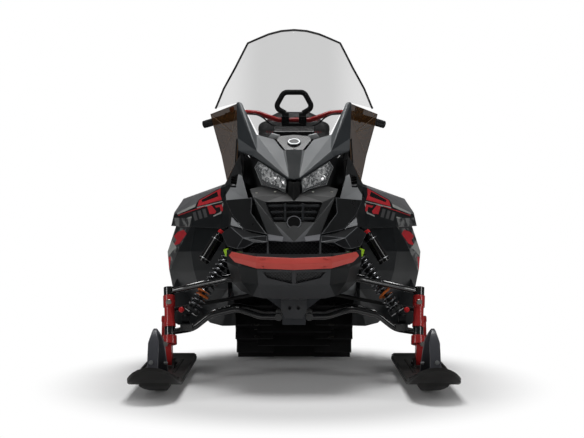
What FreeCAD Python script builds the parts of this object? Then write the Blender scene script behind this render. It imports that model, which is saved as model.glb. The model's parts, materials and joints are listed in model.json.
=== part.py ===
"""Two-seat touring snowmobile: tubular steering, twin plastic skis on red spindles, a faceted
plastic body round a tall clear windshield, and one rubber track under an aluminium tunnel.

Millimetres. The machine faces -Y, +X is its own left side and Z is up from the floor it
parks on. Along the machine, places are given as a distance behind the tips of the skis.
"""

import FreeCAD, Part
import math
import os

V = FreeCAD.Vector

# Overall
OVERALL_LENGTH = 3250.0
SKI_STANCE = 1010.0
SPINDLE_AFT = 650.0
SKIN = 5.0            # wall of the moulded body panels
RUN_GAP = 0.4         # clearance of pieces that sit on or turn in each other
STUD_RADIUS = 4.0     # moulded studs that seat the panels
STEER_CLEARANCE = 0.4

# Skis
SKI_LENGTH = 1060.0
SKI_WIDTH = 190.0
SKI_WING_HEIGHT = 44.0
SKI_WING_THICKNESS = 12.0
SKI_TIP_HEIGHT = 132.0
SKI_KEEL_WIDTH = 110.0
SKI_BOLT_HEIGHT = 74.0
SKI_BOLT_RADIUS = 7.0
SADDLE_WIDTH = 66.0
LOOP_WIDTH = 38.0
LOOP_BAND = 15.0
LOOP_TOP = 252.0

# Spindles and front arms
LOWER_JOINT = (492.0, 640.0, 197.0)
UPPER_JOINT = (500.0, 692.0, 352.0)
JOINT_EYE_RADIUS = 21.0
JOINT_EYE_HEIGHT = 34.0
JOINT_PIN_RADIUS = 8.0
SPINDLE_WIDTH = 44.0
ARM_TUBE_RADIUS = 12.0
UPPER_TUBE_RADIUS = 11.0
PIVOT_SLEEVE_RADIUS = 15.0
PIVOT_SLEEVE_LENGTH = 44.0
STEER_ARM_LENGTH = 95.0
STEER_ARM_RISE = 137.0
STEER_ARM_THICKNESS = 14.0
LINK_RADIUS = 8.0
LINK_EYE_HEIGHT = 20.0
LINK_DROP = 8.0          # from the steering arm down to the link's open eye
LINK_HEIGHT = 345.0
GUIDE_PLACE = (38.0, 66.0)
SHOCK_TOP = (236.0, 705.0, 528.0)
SHOCK_FOOT = (428.0, 642.0, 248.0)
SPRING_RADIUS = 29.0
SPRING_WIRE = 8.0
SPRING_TURNS = 9
DAMPER_RADIUS = 17.0
SHOCK_EYE_LENGTH = 30.0
RESERVOIR_RADIUS = 23.0

# Front frame
TUNNEL_FRONT_AFT = 885.0
FRAME_FRONT_AFT = 545.0
FRAME_REAR_AFT = TUNNEL_FRONT_AFT - RUN_GAP
BULKHEAD_FRONT_LENGTH = 175.0
BULKHEAD_REAR_LENGTH = 95.0
LINK_AFT = FRAME_FRONT_AFT + BULKHEAD_FRONT_LENGTH + 32.0
FRAME_FOOT_HALF = 45.0
FRAME_FOOT_HEIGHT = 232.0
FRAME_DECK_HALF = 190.0
FRAME_DECK_HEIGHT = 440.0
FRAME_DECK_THICKNESS = 8.0
WALL_HALF = 201.0
BEAM_TOP = 788.0
BEAM_DEPTH = 20.0
ENGINE_HEIGHT = 262.0

# Track and its suspension
TRACK_WIDTH = 510.0
TRACK_PITCHES = 54
LUG_HEIGHT = 44.0
LUG_ROOT = 15.0
LUG_TIP = 9.0
BELT_THICKNESS = 8.0
DRIVE_AFT = 1050.0
DRIVE_HEIGHT = 362.0
DRIVE_RADIUS = 92.0
RAIL_BEND_RADIUS = 350.0
RAIL_BEND_AFT = 1500.0
REAR_WHEEL_AFT = 2672.0
REAR_WHEEL_RADIUS = 95.0
RAIL_SPACING = 260.0
RAIL_THICKNESS = 18.0
RAIL_HEIGHT = 62.0
RAIL_BEND_SWEEP = 29.0
CARRIER_RADIUS = 62.0
BOGIE_RADIUS = 60.0
WHEEL_WIDTH = 22.0
AXLE_RADIUS = 11.0

# Tunnel and rear end
TUNNEL_INNER_HALF = 264.0
TUNNEL_WALL = 3.0
TUNNEL_TOP = 566.0
TUNNEL_REAR_AFT = 3040.0
TAIL_PLATE_DROP = 80.0
TAIL_PLATE_RISE = 50.0
BOARD_HEIGHT = 338.0
BOARD_WIDTH = 128.0
BOARD_THICKNESS = 4.0
BOARD_LIP = 28.0
BOARD_FRONT_AFT = 1190.0
BOARD_REAR_AFT = 2900.0
TANK_HALF = 150.0
SEAT_WIDTH = 330.0
FRONT_SEAT_TOP = 838.0
REAR_SEAT_TOP = 925.0
BACKREST_TOP = 1205.0
BACKREST_WIDTH = 410.0
RACK_TUBE_RADIUS = 12.0
RACK_HEIGHT = 652.0
RACK_HOLES_AFT = 2960.0
RACK_HOLES_LONG = 160.0
RACK_HOLES_WIDE = 300.0
RACK_HOLE_RADIUS = 4.25
BUMPER_TUBE_RADIUS = 16.0
FLAP_THICKNESS = 6.0

# Steering
BAR_AFT = 1430.0
BAR_HEIGHT = 1076.0
BAR_RADIUS = 11.1
BAR_END_HALF = 405.0
BAR_SWEEP = 95.0
BAR_DROP = 14.0
COLUMN_RAKE = 25.0
COLUMN_RADIUS = 16.0
COLUMN_LENGTH = 300.0
GRIP_RADIUS = 17.0
GRIP_LENGTH = 118.0
STRAP_RADIUS = 12.0
STRAP_TOP = BAR_HEIGHT + 126.0
CABLE_RADIUS = 3.5
RISER_HALF = 56.0

# Windshield: u = foot + lean * rise + bow * x * x
SHIELD_THICKNESS = 4.0
SHIELD_FOOT_AFT = 906.0
SHIELD_FOOT_HEIGHT = 978.0
SHIELD_LEAN = 0.53
SHIELD_BOW = 0.0019
SHIELD_TRIM = 9.0

# Lamps
LAMP_DEPTH = 34.0

# Front bumper
BUMPER_BAND = 46.0
BUMPER_THICKNESS = 12.0
STAY_HALF = 100.0
STAY_LOW = 468.0
STAY_DEPTH = 30.0


def at(x, aft, z):
    """A point given by its distance behind the ski tips."""
    return V(x, aft - OVERALL_LENGTH / 2, z)


def mirrored(shape):
    return shape.mirror(V(0, 0, 0), V(1, 0, 0))


def fuse(shapes):
    shapes = list(shapes)
    first = shapes[0]
    if len(shapes) > 1:
        first = first.fuse(shapes[1:])
    return first.removeSplitter()


def save(name, shape):
    """Writes one node. A list is several solids that don't touch."""
    if isinstance(shape, list):
        shape = Part.makeCompound([s for part in shape for s in part.Solids])
    for solid in shape.Solids:
        if not solid.isValid() or solid.Volume <= 0:
            print("BAD SOLID", name, solid.isValid(), solid.Volume)
    shape.exportStep(os.path.join("parts", name + ".step"))


def polygon_face(points):
    return Part.Face(Part.makePolygon(list(points) + [points[0]]))


def prism(points, push):
    return polygon_face(points).extrude(push)


def side_profile(points, x_low, x_high):
    """A solid from an outline of (aft, z) points, between two x places."""
    return prism([at(x_low, u, z) for u, z in points], V(x_high - x_low, 0, 0))


def cross_profile(points, aft_low, aft_high):
    """A solid from an outline of (x, z) points, between two places along the machine."""
    return prism([at(x, aft_low, z) for x, z in points], V(0, aft_high - aft_low, 0))


def box(x0, x1, u0, u1, z0, z1):
    return Part.makeBox(x1 - x0, u1 - u0, z1 - z0, at(x0, u0, z0))


def rod(start, end, radius):
    axis = end - start
    return Part.makeCylinder(radius, axis.Length, start, axis)


def tube(points, radius, bend):
    """A round bar along straight runs joined by tangent arcs."""
    edges = []
    here = points[0]
    for i in range(1, len(points) - 1):
        corner = points[i]
        back = (points[i - 1] - corner).normalize()
        ahead = (points[i + 1] - corner).normalize()
        turn = math.pi - back.getAngle(ahead)
        if turn < 0.01:
            continue
        runs = min((points[i - 1] - corner).Length, (points[i + 1] - corner).Length)
        setback = min(bend * math.tan(turn / 2), 0.45 * runs)
        arc_radius = setback / math.tan(turn / 2)
        first = corner + back * setback
        last = corner + ahead * setback
        middle_axis = (back + ahead).normalize()
        centre = corner + middle_axis * (arc_radius / math.cos(turn / 2))
        middle = centre - middle_axis * arc_radius
        edges.append(Part.makeLine(here, first))
        edges.append(Part.Arc(first, middle, last).toShape())
        here = last
    edges.append(Part.makeLine(here, points[-1]))
    path = Part.Wire(edges)
    ring = Part.Wire([Part.makeCircle(radius, points[0], points[1] - points[0])])
    return path.makePipeShell([ring], True, False)


def oriented(triangles):
    """Turns triangles so that neighbours run round their shared edge in opposite ways."""
    by_edge = {}
    for t, (a, b, c) in enumerate(triangles):
        for edge in ((a, b), (b, c), (c, a)):
            by_edge.setdefault(frozenset(edge), []).append(t)
    done = {0}
    queue = [0]
    turned = [list(t) for t in triangles]
    while queue:
        a, b, c = turned[queue[0]]
        for edge in ((a, b), (b, c), (c, a)):
            for t in by_edge[frozenset(edge)]:
                if t in done:
                    continue
                d, e, f = turned[t]
                if edge in ((d, e), (e, f), (f, d)):
                    turned[t] = [d, f, e]
                done.add(t)
                queue.append(t)
        queue.pop(0)
    return turned


def shell(points, polygons, thickness, inward):
    """A panel of flat facets. Each point is set in by the wall thickness along the mean of the
    facets that meet there, on the side of the panel that faces the inward place."""
    triangles = [[poly[0], poly[i], poly[i + 1]] for poly in polygons for i in range(1, len(poly) - 1)]
    triangles = oriented(triangles)
    places = [at(*p) for p in points]
    inside = at(*inward)
    normals = [V(0, 0, 0) for _ in places]
    facing = 0.0
    for a, b, c in triangles:
        n = (places[b] - places[a]).cross(places[c] - places[a])
        facing += n.dot(inside - (places[a] + places[b] + places[c]) * (1 / 3))
    for t, (a, b, c) in enumerate(triangles):
        if facing > 0:
            a, b, c = triangles[t] = [a, c, b]
        n = (places[b] - places[a]).cross(places[c] - places[a]).normalize()
        for k in (a, b, c):
            normals[k] = normals[k] + n
    inner = [place - n.normalize() * thickness for place, n in zip(places, normals)]
    faces = []
    rims = set()
    for a, b, c in triangles:
        faces.append([places[a], places[b], places[c]])
        faces.append([inner[a], inner[c], inner[b]])
        rims.update(((a, b), (b, c), (c, a)))
    for i, j in sorted(rims):
        if (j, i) not in rims:
            faces.append([places[i], inner[i], inner[j]])
            faces.append([places[i], inner[j], places[j]])
    made = Part.Solid(Part.Shell([polygon_face(f) for f in faces]))
    if made.Volume < 0:
        made.reverse()
    return made


def first_hit(shape, start, direction):
    """Where a ray first meets a shape, and the way the surface faces there."""
    ray = Part.makeLine(start, start + direction * 1500)
    best = None
    for face in shape.Faces:
        if not face.BoundBox.intersect(ray.BoundBox):
            continue
        for vertex in face.section(ray).Vertexes:
            reach = (vertex.Point - start).Length
            if best is None or reach < best[0]:
                u, v = face.Surface.parameter(vertex.Point)
                normal = face.normalAt(u, v)
                if normal.dot(direction) > 0:
                    normal = normal * -1
                best = (reach, vertex.Point, normal)
    return best[1], best[2]


def stud(piece, carrier, start, direction):
    """Adds a stud to a piece, square to the carrier's surface that the ray from start meets."""
    seat, normal = first_hit(carrier, start, direction)
    seat = seat + normal * RUN_GAP
    root = first_hit(piece, seat, normal)[0]
    return fuse([piece, rod(seat, root + normal, STUD_RADIUS)])


def both_sides(points, polygons):
    """Adds the mirror image of a half given at x >= 0, sharing the points on the middle. Each
    facet keeps its first point, so both sides are split into the same triangles."""
    whole = list(points)
    twin = {}
    for i, (x, u, z) in enumerate(points):
        if abs(x) < 1e-6:
            twin[i] = i
        else:
            twin[i] = len(whole)
            whole.append((-x, u, z))
    return whole, list(polygons) + [[twin[i] for i in p[:1] + p[:0:-1]] for p in polygons]


def grid(rows):
    """Points and facets of a panel given as rows of points from one end to the other."""
    points = [p for row in rows for p in row]
    count = len(rows[0])
    polygons = []
    for r in range(len(rows) - 1):
        for c in range(count - 1):
            a = r * count + c
            polygons.append([a, a + 1, a + count + 1, a + count])
    return points, polygons


def loft(sections):
    """A closed form through outlines that each have as many points."""
    return Part.makeLoft([Part.makePolygon(s + [s[0]]) for s in sections], True, True)


# Skis
def ski_outline():
    """Seen from above: a round nose, straight sides and a slightly tapered tail."""
    half = SKI_WIDTH / 2
    nose = 110.0
    points = [(half * math.sin(math.radians(a)), nose * (1 - math.cos(math.radians(a))))
              for a in range(0, 91, 15)]
    right = points + [(half, SKI_LENGTH - 60.0), (half * 0.86, SKI_LENGTH)]
    left = [(-x, u) for x, u in reversed(right[1:])]
    centre = SKI_STANCE / 2
    return prism([at(centre + x, u, -10.0) for x, u in right + left], V(0, 0, 400.0))


def curved_sheet(tip, tail, thickness, x_low, x_high):
    """A plate whose underside curves up to its tip, from a flat run that ends at the tail. Both
    are lists of (aft, z) points that share the place where the curve starts."""
    edges = []
    for lift in (0, thickness):
        spots = [at(x_low, u, z + lift) for u, z in tip]
        curve = Part.BSplineCurve()
        curve.interpolate(Points=spots, InitialTangent=spots[1] - spots[0],
                          FinalTangent=V(0, (spots[-1] - spots[-2]).Length, 0))
        run = [at(x_low, u, z + lift) for u, z in [tip[-1]] + tail]
        edges += [curve.toShape(), Part.makePolygon(run)]
    joins = [Part.makeLine(at(x_low, *place), at(x_low, place[0], place[1] + thickness))
             for place in (tip[0], tail[-1])]
    outline = Part.Wire(Part.__sortEdges__([e for part in edges + joins for e in part.Edges]))
    return Part.Face(outline).extrude(V(x_high - x_low, 0, 0))


def ski():
    """Wings at either side of a deep keel that carries the ski on the snow."""
    half = SKI_WIDTH / 2
    centre = SKI_STANCE / 2
    wing = SKI_WING_HEIGHT
    tip = SKI_TIP_HEIGHT - SKI_WING_THICKNESS
    curve = [(0, tip), (45, tip - 30), (100, tip - 55), (170, wing + 5), (260, wing)]
    flat = [(SKI_LENGTH - 120, wing), (SKI_LENGTH - 50, wing + 3), (SKI_LENGTH, wing + 10)]
    plate = curved_sheet(curve, flat, SKI_WING_THICKNESS, centre - half - 5, centre + half + 5)
    plate = plate.common(ski_outline())
    keel_half = SKI_KEEL_WIDTH / 2
    top = SKI_WING_HEIGHT + SKI_WING_THICKNESS / 2
    side = [(92, tip - 42), (130, 50), (200, 29), (280, 13), (340, 4), (400, 0),
            (SKI_LENGTH - 150, 0), (SKI_LENGTH - 70, 14), (SKI_LENGTH - 25, top), (190, top)]
    keel = side_profile(side, centre - keel_half, centre + keel_half)
    flank = cross_profile([(centre - keel_half - 1, 60), (centre - keel_half - 1, 44),
                           (centre - keel_half + 30, -1), (centre + keel_half - 30, -1),
                           (centre + keel_half + 1, 44), (centre + keel_half + 1, 60)],
                          0, SKI_LENGTH)
    keel = keel.common(flank)
    rib_height = 14.0
    lift = SKI_WING_THICKNESS / 2
    rib = curved_sheet([(u, z + lift) for u, z in curve[2:]], [(u, z + lift) for u, z in flat[:-1]],
                       rib_height, centre + half - 10, centre + half - 3)
    ribs = [rib, rib.mirror(at(centre, 0, 0), V(1, 0, 0))]
    saddle_top = SKI_WING_HEIGHT + SKI_WING_THICKNESS + 36
    gap = SPINDLE_WIDTH / 2 + 1.5
    ear_outline = [(SPINDLE_AFT - 70, top), (SPINDLE_AFT + 70, top),
                   (SPINDLE_AFT + 26, saddle_top), (SPINDLE_AFT - 26, saddle_top)]
    ears = [side_profile(ear_outline, centre + gap, centre + SADDLE_WIDTH / 2),
            side_profile(ear_outline, centre - SADDLE_WIDTH / 2, centre - gap)]
    made = fuse([plate, keel] + ribs + ears)
    bolt = rod(at(centre - SADDLE_WIDTH / 2 - 8, SPINDLE_AFT, SKI_BOLT_HEIGHT),
               at(centre + SADDLE_WIDTH / 2 + 8, SPINDLE_AFT, SKI_BOLT_HEIGHT),
               SKI_BOLT_RADIUS)
    return fuse([made, bolt])


def ski_loop():
    """The pull handle: a band that rises from the tip and comes down ahead of the saddle."""
    centre = SKI_STANCE / 2
    outer = [(62, 96), (84, 170), (112, 222), (150, LOOP_TOP - 4), (182, LOOP_TOP),
             (230, LOOP_TOP - 16), (360, 170), (500, SKI_WING_HEIGHT + 20)]
    seat = SKI_WING_HEIGHT + SKI_WING_THICKNESS + RUN_GAP
    outer = [(62, 112)] + outer[1:-1] + [(515, seat)]
    inner = [(480, seat), (345, 160), (226, LOOP_TOP - 32), (184, LOOP_TOP - LOOP_BAND),
             (158, LOOP_TOP - LOOP_BAND - 5), (126, 212), (100, 164), (84, 98)]
    band = side_profile(outer + inner, centre - LOOP_WIDTH / 2, centre + LOOP_WIDTH / 2)
    crown = cross_profile([(centre - LOOP_WIDTH / 2, 0), (centre + LOOP_WIDTH / 2, 0),
                           (centre + LOOP_WIDTH / 2, LOOP_TOP - 46), (centre + 6, LOOP_TOP + 2),
                           (centre - 6, LOOP_TOP + 2), (centre - LOOP_WIDTH / 2, LOOP_TOP - 46)],
                          0, 700)
    return band.common(crown)


# Spindles, arms and shocks, all for the machine's left side
def kingpin():
    """The steering axis of the left spindle: its lower point and its direction."""
    low = at(*LOWER_JOINT)
    return low, (at(*UPPER_JOINT) - low).normalize()


def spindle():
    low, axis = kingpin()
    high = at(*UPPER_JOINT)
    centre = SKI_STANCE / 2
    half = SPINDLE_WIDTH / 2
    eye = JOINT_EYE_HEIGHT / 2
    reach = JOINT_EYE_RADIUS + 8
    top_end = high - axis * (eye + 1)
    upper_leg = rod(low + axis * (eye + 1), top_end, half - 2)
    shoulders = [rod(top_end - axis * 46, top_end, half + 2),
                 rod(low + axis * (eye + 1), low + axis * (eye + 20), half + 2)]
    pin = rod(low - axis * (eye + 12), high + axis * (eye - 6), JOINT_PIN_RADIUS)
    foot_top = low - axis * (eye + 1)
    collar = rod(foot_top - axis * 34, foot_top, half + 5)
    # The web passes outboard of and behind the lower joint, clear of the arm as it steers
    u, z = LOWER_JOINT[1], LOWER_JOINT[2]
    web_low = z - 46
    web_high = z + 46
    web = prism([at(LOWER_JOINT[0] + reach - 6, u + 6, web_low),
                 at(LOWER_JOINT[0] + reach + 6, u + 6, web_low),
                 at(LOWER_JOINT[0] + reach + 6, u + 38, web_high),
                 at(LOWER_JOINT[0] + reach - 6, u + 38, web_high)], V(0, 24, 0))
    web_foot = side_profile([(u - 22, web_low - 8), (u + 24, web_low - 8), (u + 30, web_low + 10),
                             (u - 6, web_low + 10)], centre - 10, LOWER_JOINT[0] + reach + 6)
    web_head = side_profile([(u + 10, web_high - 8), (u + 58, web_high - 8), (u + 62, web_high + 12),
                             (u + 20, web_high + 12)], centre - 10, LOWER_JOINT[0] + reach + 6)
    leg = side_profile([(SPINDLE_AFT - 44, web_low), (SPINDLE_AFT + 24, web_low),
                        (SPINDLE_AFT + 34, SKI_BOLT_HEIGHT + 20), (SPINDLE_AFT + 15, 64),
                        (SPINDLE_AFT - 15, 64), (SPINDLE_AFT - 36, SKI_BOLT_HEIGHT + 20)],
                       centre - half, centre + half)
    arm_root = low + axis * STEER_ARM_RISE
    arm_tip = arm_root + V(0, axis.z, -axis.y) * STEER_ARM_LENGTH
    side = V(1, 0, 0)
    arm_up = axis * (STEER_ARM_THICKNESS / 2)
    corners = [arm_root + side * 16 - arm_up, arm_tip + side * 12 - arm_up,
               arm_tip - side * 12 - arm_up, arm_root - side * 16 - arm_up]
    steer_arm = prism(corners, axis * STEER_ARM_THICKNESS)
    boss = rod(arm_tip - arm_up, arm_tip + arm_up, 14)
    made = fuse([upper_leg, pin, collar, web, web_foot, web_head, leg, steer_arm, boss]
                + shoulders)
    bore = rod(at(centre - half - 5, SPINDLE_AFT, SKI_BOLT_HEIGHT),
               at(centre + half + 5, SPINDLE_AFT, SKI_BOLT_HEIGHT),
               SKI_BOLT_RADIUS + STEER_CLEARANCE)
    return made.cut(bore)


def joint_eye(point):
    low, axis = kingpin()
    middle = at(*point)
    half = axis * (JOINT_EYE_HEIGHT / 2)
    eye = rod(middle - half, middle + half, JOINT_EYE_RADIUS)
    hole = rod(middle - half * 2, middle + half * 2, JOINT_PIN_RADIUS + STEER_CLEARANCE)
    return eye, hole


def pivot_sleeve(x, aft, z, radius):
    half = PIVOT_SLEEVE_LENGTH / 2
    return rod(at(x, aft - half, z), at(x, aft + half, z), radius)


def lower_arm():
    """A gull-winged A-arm: it rises over the snow between the spindle and the frame."""
    root = FRAME_FOOT_HALF + PIVOT_SLEEVE_RADIUS + RUN_GAP
    height = FRAME_FOOT_HEIGHT + 27
    front = FRAME_FRONT_AFT + 55
    rear = FRAME_REAR_AFT - 30
    ox, ou, oz = LOWER_JOINT
    legs = []
    for start, bow in ((front, 0.0), (rear, 1.0)):
        path = [at(root, start, height), at(root + 72, start - bow * 22, height + 1),
                at(225, start + (ou - start) * 0.42, 290), at(330, start + (ou - start) * 0.66, 265),
                at(400, start + (ou - start) * 0.82, 209), at(ox - 6, ou, oz - 2)]
        legs.append(tube(path, ARM_TUBE_RADIUS, 90))
    sleeves = [pivot_sleeve(root, u, height, PIVOT_SLEEVE_RADIUS) for u in (front, rear)]
    eye, hole = joint_eye(LOWER_JOINT)
    foot_x, foot_u, foot_z = SHOCK_FOOT
    perch = box(foot_x - 26, foot_x + 22, foot_u - 24, foot_u + 24, 200, foot_z - 20 - RUN_GAP)
    return fuse(legs + sleeves + [eye, perch]).cut(hole)


def upper_arm():
    root = FRAME_DECK_HALF + PIVOT_SLEEVE_RADIUS + RUN_GAP
    height = FRAME_DECK_HEIGHT - 28
    front = FRAME_FRONT_AFT + 26
    rear = FRAME_REAR_AFT - 60
    ox, ou, oz = UPPER_JOINT
    legs = []
    for start in (front, rear):
        path = [at(root, start, height), at(root + 60, start + (ou - start) * 0.12, height - 6),
                at(ox - 60, start + (ou - start) * 0.84, oz + 14), at(ox - 5, ou, oz)]
        legs.append(tube(path, UPPER_TUBE_RADIUS, 120))
    sleeves = [pivot_sleeve(root, u, height, PIVOT_SLEEVE_RADIUS) for u in (front, rear)]
    eye, hole = joint_eye(UPPER_JOINT)
    return fuse(legs + sleeves + [eye]).cut(hole)


def along(start, end, share):
    return start + (end - start) * share


def shock():
    """Damper body and rod with an eye at each end; the spring sits round it."""
    top = at(*SHOCK_TOP)
    foot = at(*SHOCK_FOOT)
    half = V(SHOCK_EYE_LENGTH / 2, 0, 0)
    eyes = [rod(p - half, p + half, 18) for p in (top, foot)]
    body = rod(top, along(top, foot, 0.55), DAMPER_RADIUS)
    ram = rod(along(top, foot, 0.5), foot, 7)
    cups = [rod(along(top, foot, 0.09), along(top, foot, 0.13), SPRING_RADIUS + 1),
            rod(along(top, foot, 0.87), along(top, foot, 0.91), SPRING_RADIUS + 1)]
    return fuse(eyes + [body, ram] + cups)


def spring():
    """The coil spring as a ribbed sleeve, one rib to each turn of the wire."""
    top = at(*SHOCK_TOP)
    foot = at(*SHOCK_FOOT)
    length = (foot - top).Length * 0.74 - 2 * RUN_GAP
    pitch = length / SPRING_TURNS
    inner = SPRING_RADIUS - SPRING_WIRE
    outline = [(inner, 0), (inner, length)]
    for i in range(SPRING_TURNS, 0, -1):
        middle = (i - 0.5) * pitch
        outline.append((SPRING_RADIUS - 5, i * pitch))
        outline.append((SPRING_RADIUS, middle + pitch * 0.25))
        outline.append((SPRING_RADIUS, middle - pitch * 0.25))
    outline.append((SPRING_RADIUS - 5, 0))
    face = polygon_face([V(r, 0, h) for r, h in outline])
    made = face.revolve(V(0, 0, 0), V(0, 0, 1), 360)
    axis = (foot - top).normalize()
    made.Placement = FreeCAD.Placement(along(top, foot, 0.13) + axis * RUN_GAP,
                                       FreeCAD.Rotation(V(0, 0, 1), axis))
    return made


def reservoir():
    """The shock's gas canister beside the frame, its red adjuster on top, on a wall bracket."""
    top = at(300, 715, 574)
    foot = at(364, 705, 470)
    body = rod(foot, top, RESERVOIR_RADIUS)
    cap = rod(along(foot, top, 0.98), along(foot, top, 1.16), 14)
    strap = box(WALL_HALF + RUN_GAP, 312, 731, 737, 548, 572)
    return fuse([body, cap, strap])


# Frame
def frame_section(grow=0.0):
    foot = FRAME_FOOT_HALF + grow
    deck = FRAME_DECK_HALF + grow
    low = FRAME_FOOT_HEIGHT
    high = FRAME_DECK_HEIGHT
    half = [(foot, low), (foot, low + 58), (deck, high - 42), (deck, high)]
    return half + [(-x, z) for x, z in reversed(half)]


def front_frame():
    """Two cast bulkheads under one deck: the arms pivot on them and the engine sits on top."""
    front = cross_profile(frame_section(), FRAME_FRONT_AFT,
                          FRAME_FRONT_AFT + BULKHEAD_FRONT_LENGTH)
    rear = cross_profile(frame_section(), FRAME_REAR_AFT - BULKHEAD_REAR_LENGTH, FRAME_REAR_AFT)
    deck = box(-FRAME_DECK_HALF, FRAME_DECK_HALF, FRAME_FRONT_AFT, FRAME_REAR_AFT,
               FRAME_DECK_HEIGHT - FRAME_DECK_THICKNESS, FRAME_DECK_HEIGHT)
    return fuse([front, rear, deck] + [link_guide(1), link_guide(-1)])


def link_guide(side):
    """The bush behind the front bulkhead in which the cross link slides."""
    near, far = (side * x for x in GUIDE_PLACE)
    barrel = rod(at(near, LINK_AFT, LINK_HEIGHT), at(far, LINK_AFT, LINK_HEIGHT), LINK_RADIUS + 7)
    arm = box(min(near, far), max(near, far), FRAME_FRONT_AFT + BULKHEAD_FRONT_LENGTH - 2, LINK_AFT,
              LINK_HEIGHT - 11, LINK_HEIGHT + 11)
    bore = rod(at(near - side, LINK_AFT, LINK_HEIGHT), at(far + side, LINK_AFT, LINK_HEIGHT),
               LINK_RADIUS + RUN_GAP)
    return fuse([barrel, arm]).cut(bore)


def wall_outline():
    """The bay wall from the side, with the ear that carries lamps, fins and dash beam."""
    base = FRAME_DECK_HEIGHT + RUN_GAP
    rear = FRAME_REAR_AFT - 32
    return [(FRAME_FRONT_AFT + 20, base), (rear, base), (rear, BEAM_TOP), (735, BEAM_TOP), (660, 700),
            (FRAME_FRONT_AFT + 30, 600)]


def beam_aft():
    """Rear face of the dash beam."""
    return FRAME_REAR_AFT - 36


def bay_frame():
    """Two upright sheets beside the engine, joined behind it by a bulkhead and a beam under the
    dash. Each wall carries the upper eye of its shock."""
    base = FRAME_DECK_HEIGHT + RUN_GAP
    rear = FRAME_REAR_AFT - 32
    inner = WALL_HALF - TUNNEL_WALL
    wall = side_profile(wall_outline(), inner, WALL_HALF)
    lug = rod(at(WALL_HALF - 1, SHOCK_TOP[1], SHOCK_TOP[2]),
              at(SHOCK_TOP[0] - SHOCK_EYE_LENGTH / 2 - RUN_GAP, SHOCK_TOP[1], SHOCK_TOP[2]), 14)
    flange = box(FRAME_DECK_HALF - 12, WALL_HALF, FRAME_FRONT_AFT + 20, rear, base,
                 base + TUNNEL_WALL)
    beam = box(-inner, inner, beam_aft() - BEAM_DEPTH, beam_aft(), BEAM_TOP - BEAM_DEPTH, BEAM_TOP)
    sheet = box(-inner, inner, beam_aft() - TUNNEL_WALL, beam_aft(), base, BEAM_TOP - BEAM_DEPTH)
    half = fuse([wall, lug, flange])
    return fuse([half, mirrored(half), beam, sheet])


def engine():
    base = FRAME_DECK_HEIGHT + RUN_GAP
    return box(-170, 170, 605, beam_aft() - TUNNEL_WALL - 12, base, base + ENGINE_HEIGHT)


# Track, drive and suspension
def tangent(c1, r1, c2, r2, sign):
    """Touching points of the straight run between two wheels, on the side given by sign."""
    dx = c2[0] - c1[0]
    dz = c2[1] - c1[1]
    distance = math.hypot(dx, dz)
    spread = math.acos((r1 - r2) / distance)
    angle = math.atan2(dz, dx) + sign * spread
    nx, nz = math.cos(angle), math.sin(angle)
    return ((c1[0] + r1 * nx, c1[1] + r1 * nz), (c2[0] + r2 * nx, c2[1] + r2 * nz), angle)


def track_wheels():
    """Centre and radius of the three rounds that the inside of the belt follows."""
    rest = LUG_HEIGHT + BELT_THICKNESS
    return [((DRIVE_AFT, DRIVE_HEIGHT), DRIVE_RADIUS),
            ((RAIL_BEND_AFT, rest + RAIL_BEND_RADIUS), RAIL_BEND_RADIUS),
            ((REAR_WHEEL_AFT, rest + REAR_WHEEL_RADIUS), REAR_WHEEL_RADIUS)]


def loop_pieces(offset):
    """The belt's line at a distance outside its inner face, as straight and round pieces."""
    (c1, r1), (c2, r2), (c3, r3) = [(c, r + offset) for c, r in track_wheels()]
    a1, a2, down = tangent(c1, r1, c2, r2, -1)
    b2, b3, flat = tangent(c2, r2, c3, r3, -1)
    t1, t3, top = tangent(c1, r1, c3, r3, 1)
    return [("line", a1, a2), ("arc", c2, r2, down, flat), ("line", b2, b3),
            ("arc", c3, r3, flat, top), ("line", t3, t1), ("arc", c1, r1, top, down + 2 * math.pi)]


def loop_length(offset=0.0):
    total = 0.0
    for piece in loop_pieces(offset):
        if piece[0] == "line":
            total += math.dist(piece[1], piece[2])
        else:
            total += piece[2] * (piece[4] - piece[3])
    return total


def loop_point(share, offset):
    """A point of the belt's line at a share of the way round, and its outward direction."""
    left = share * loop_length()
    for base, piece in zip(loop_pieces(0.0), loop_pieces(offset)):
        if base[0] == "line":
            run = math.dist(base[1], base[2])
            if left <= run:
                t = left / run
                (ax, az), (bx, bz) = piece[1], piece[2]
                nx, nz = (bz - az) / run, -(bx - ax) / run
                return (ax + (bx - ax) * t, az + (bz - az) * t), (nx, nz)
        else:
            run = base[2] * (base[4] - base[3])
            if left <= run:
                angle = base[3] + left / base[2]
                nx, nz = math.cos(angle), math.sin(angle)
                return (piece[1][0] + piece[2] * nx, piece[1][1] + piece[2] * nz), (nx, nz)
        left -= run
    return loop_point(0.0, offset)


def loop_face(offset):
    edges = []
    for piece in loop_pieces(offset):
        if piece[0] == "line":
            edges.append(Part.makeLine(at(0, *piece[1]), at(0, *piece[2])))
        else:
            (cu, cz), r, a0, a1 = piece[1:]
            spots = [at(0, cu + r * math.cos(a), cz + r * math.sin(a))
                     for a in (a0, (a0 + a1) / 2, a1)]
            edges.append(Part.Arc(*spots).toShape())
    return Part.Face(Part.Wire(edges))


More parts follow.
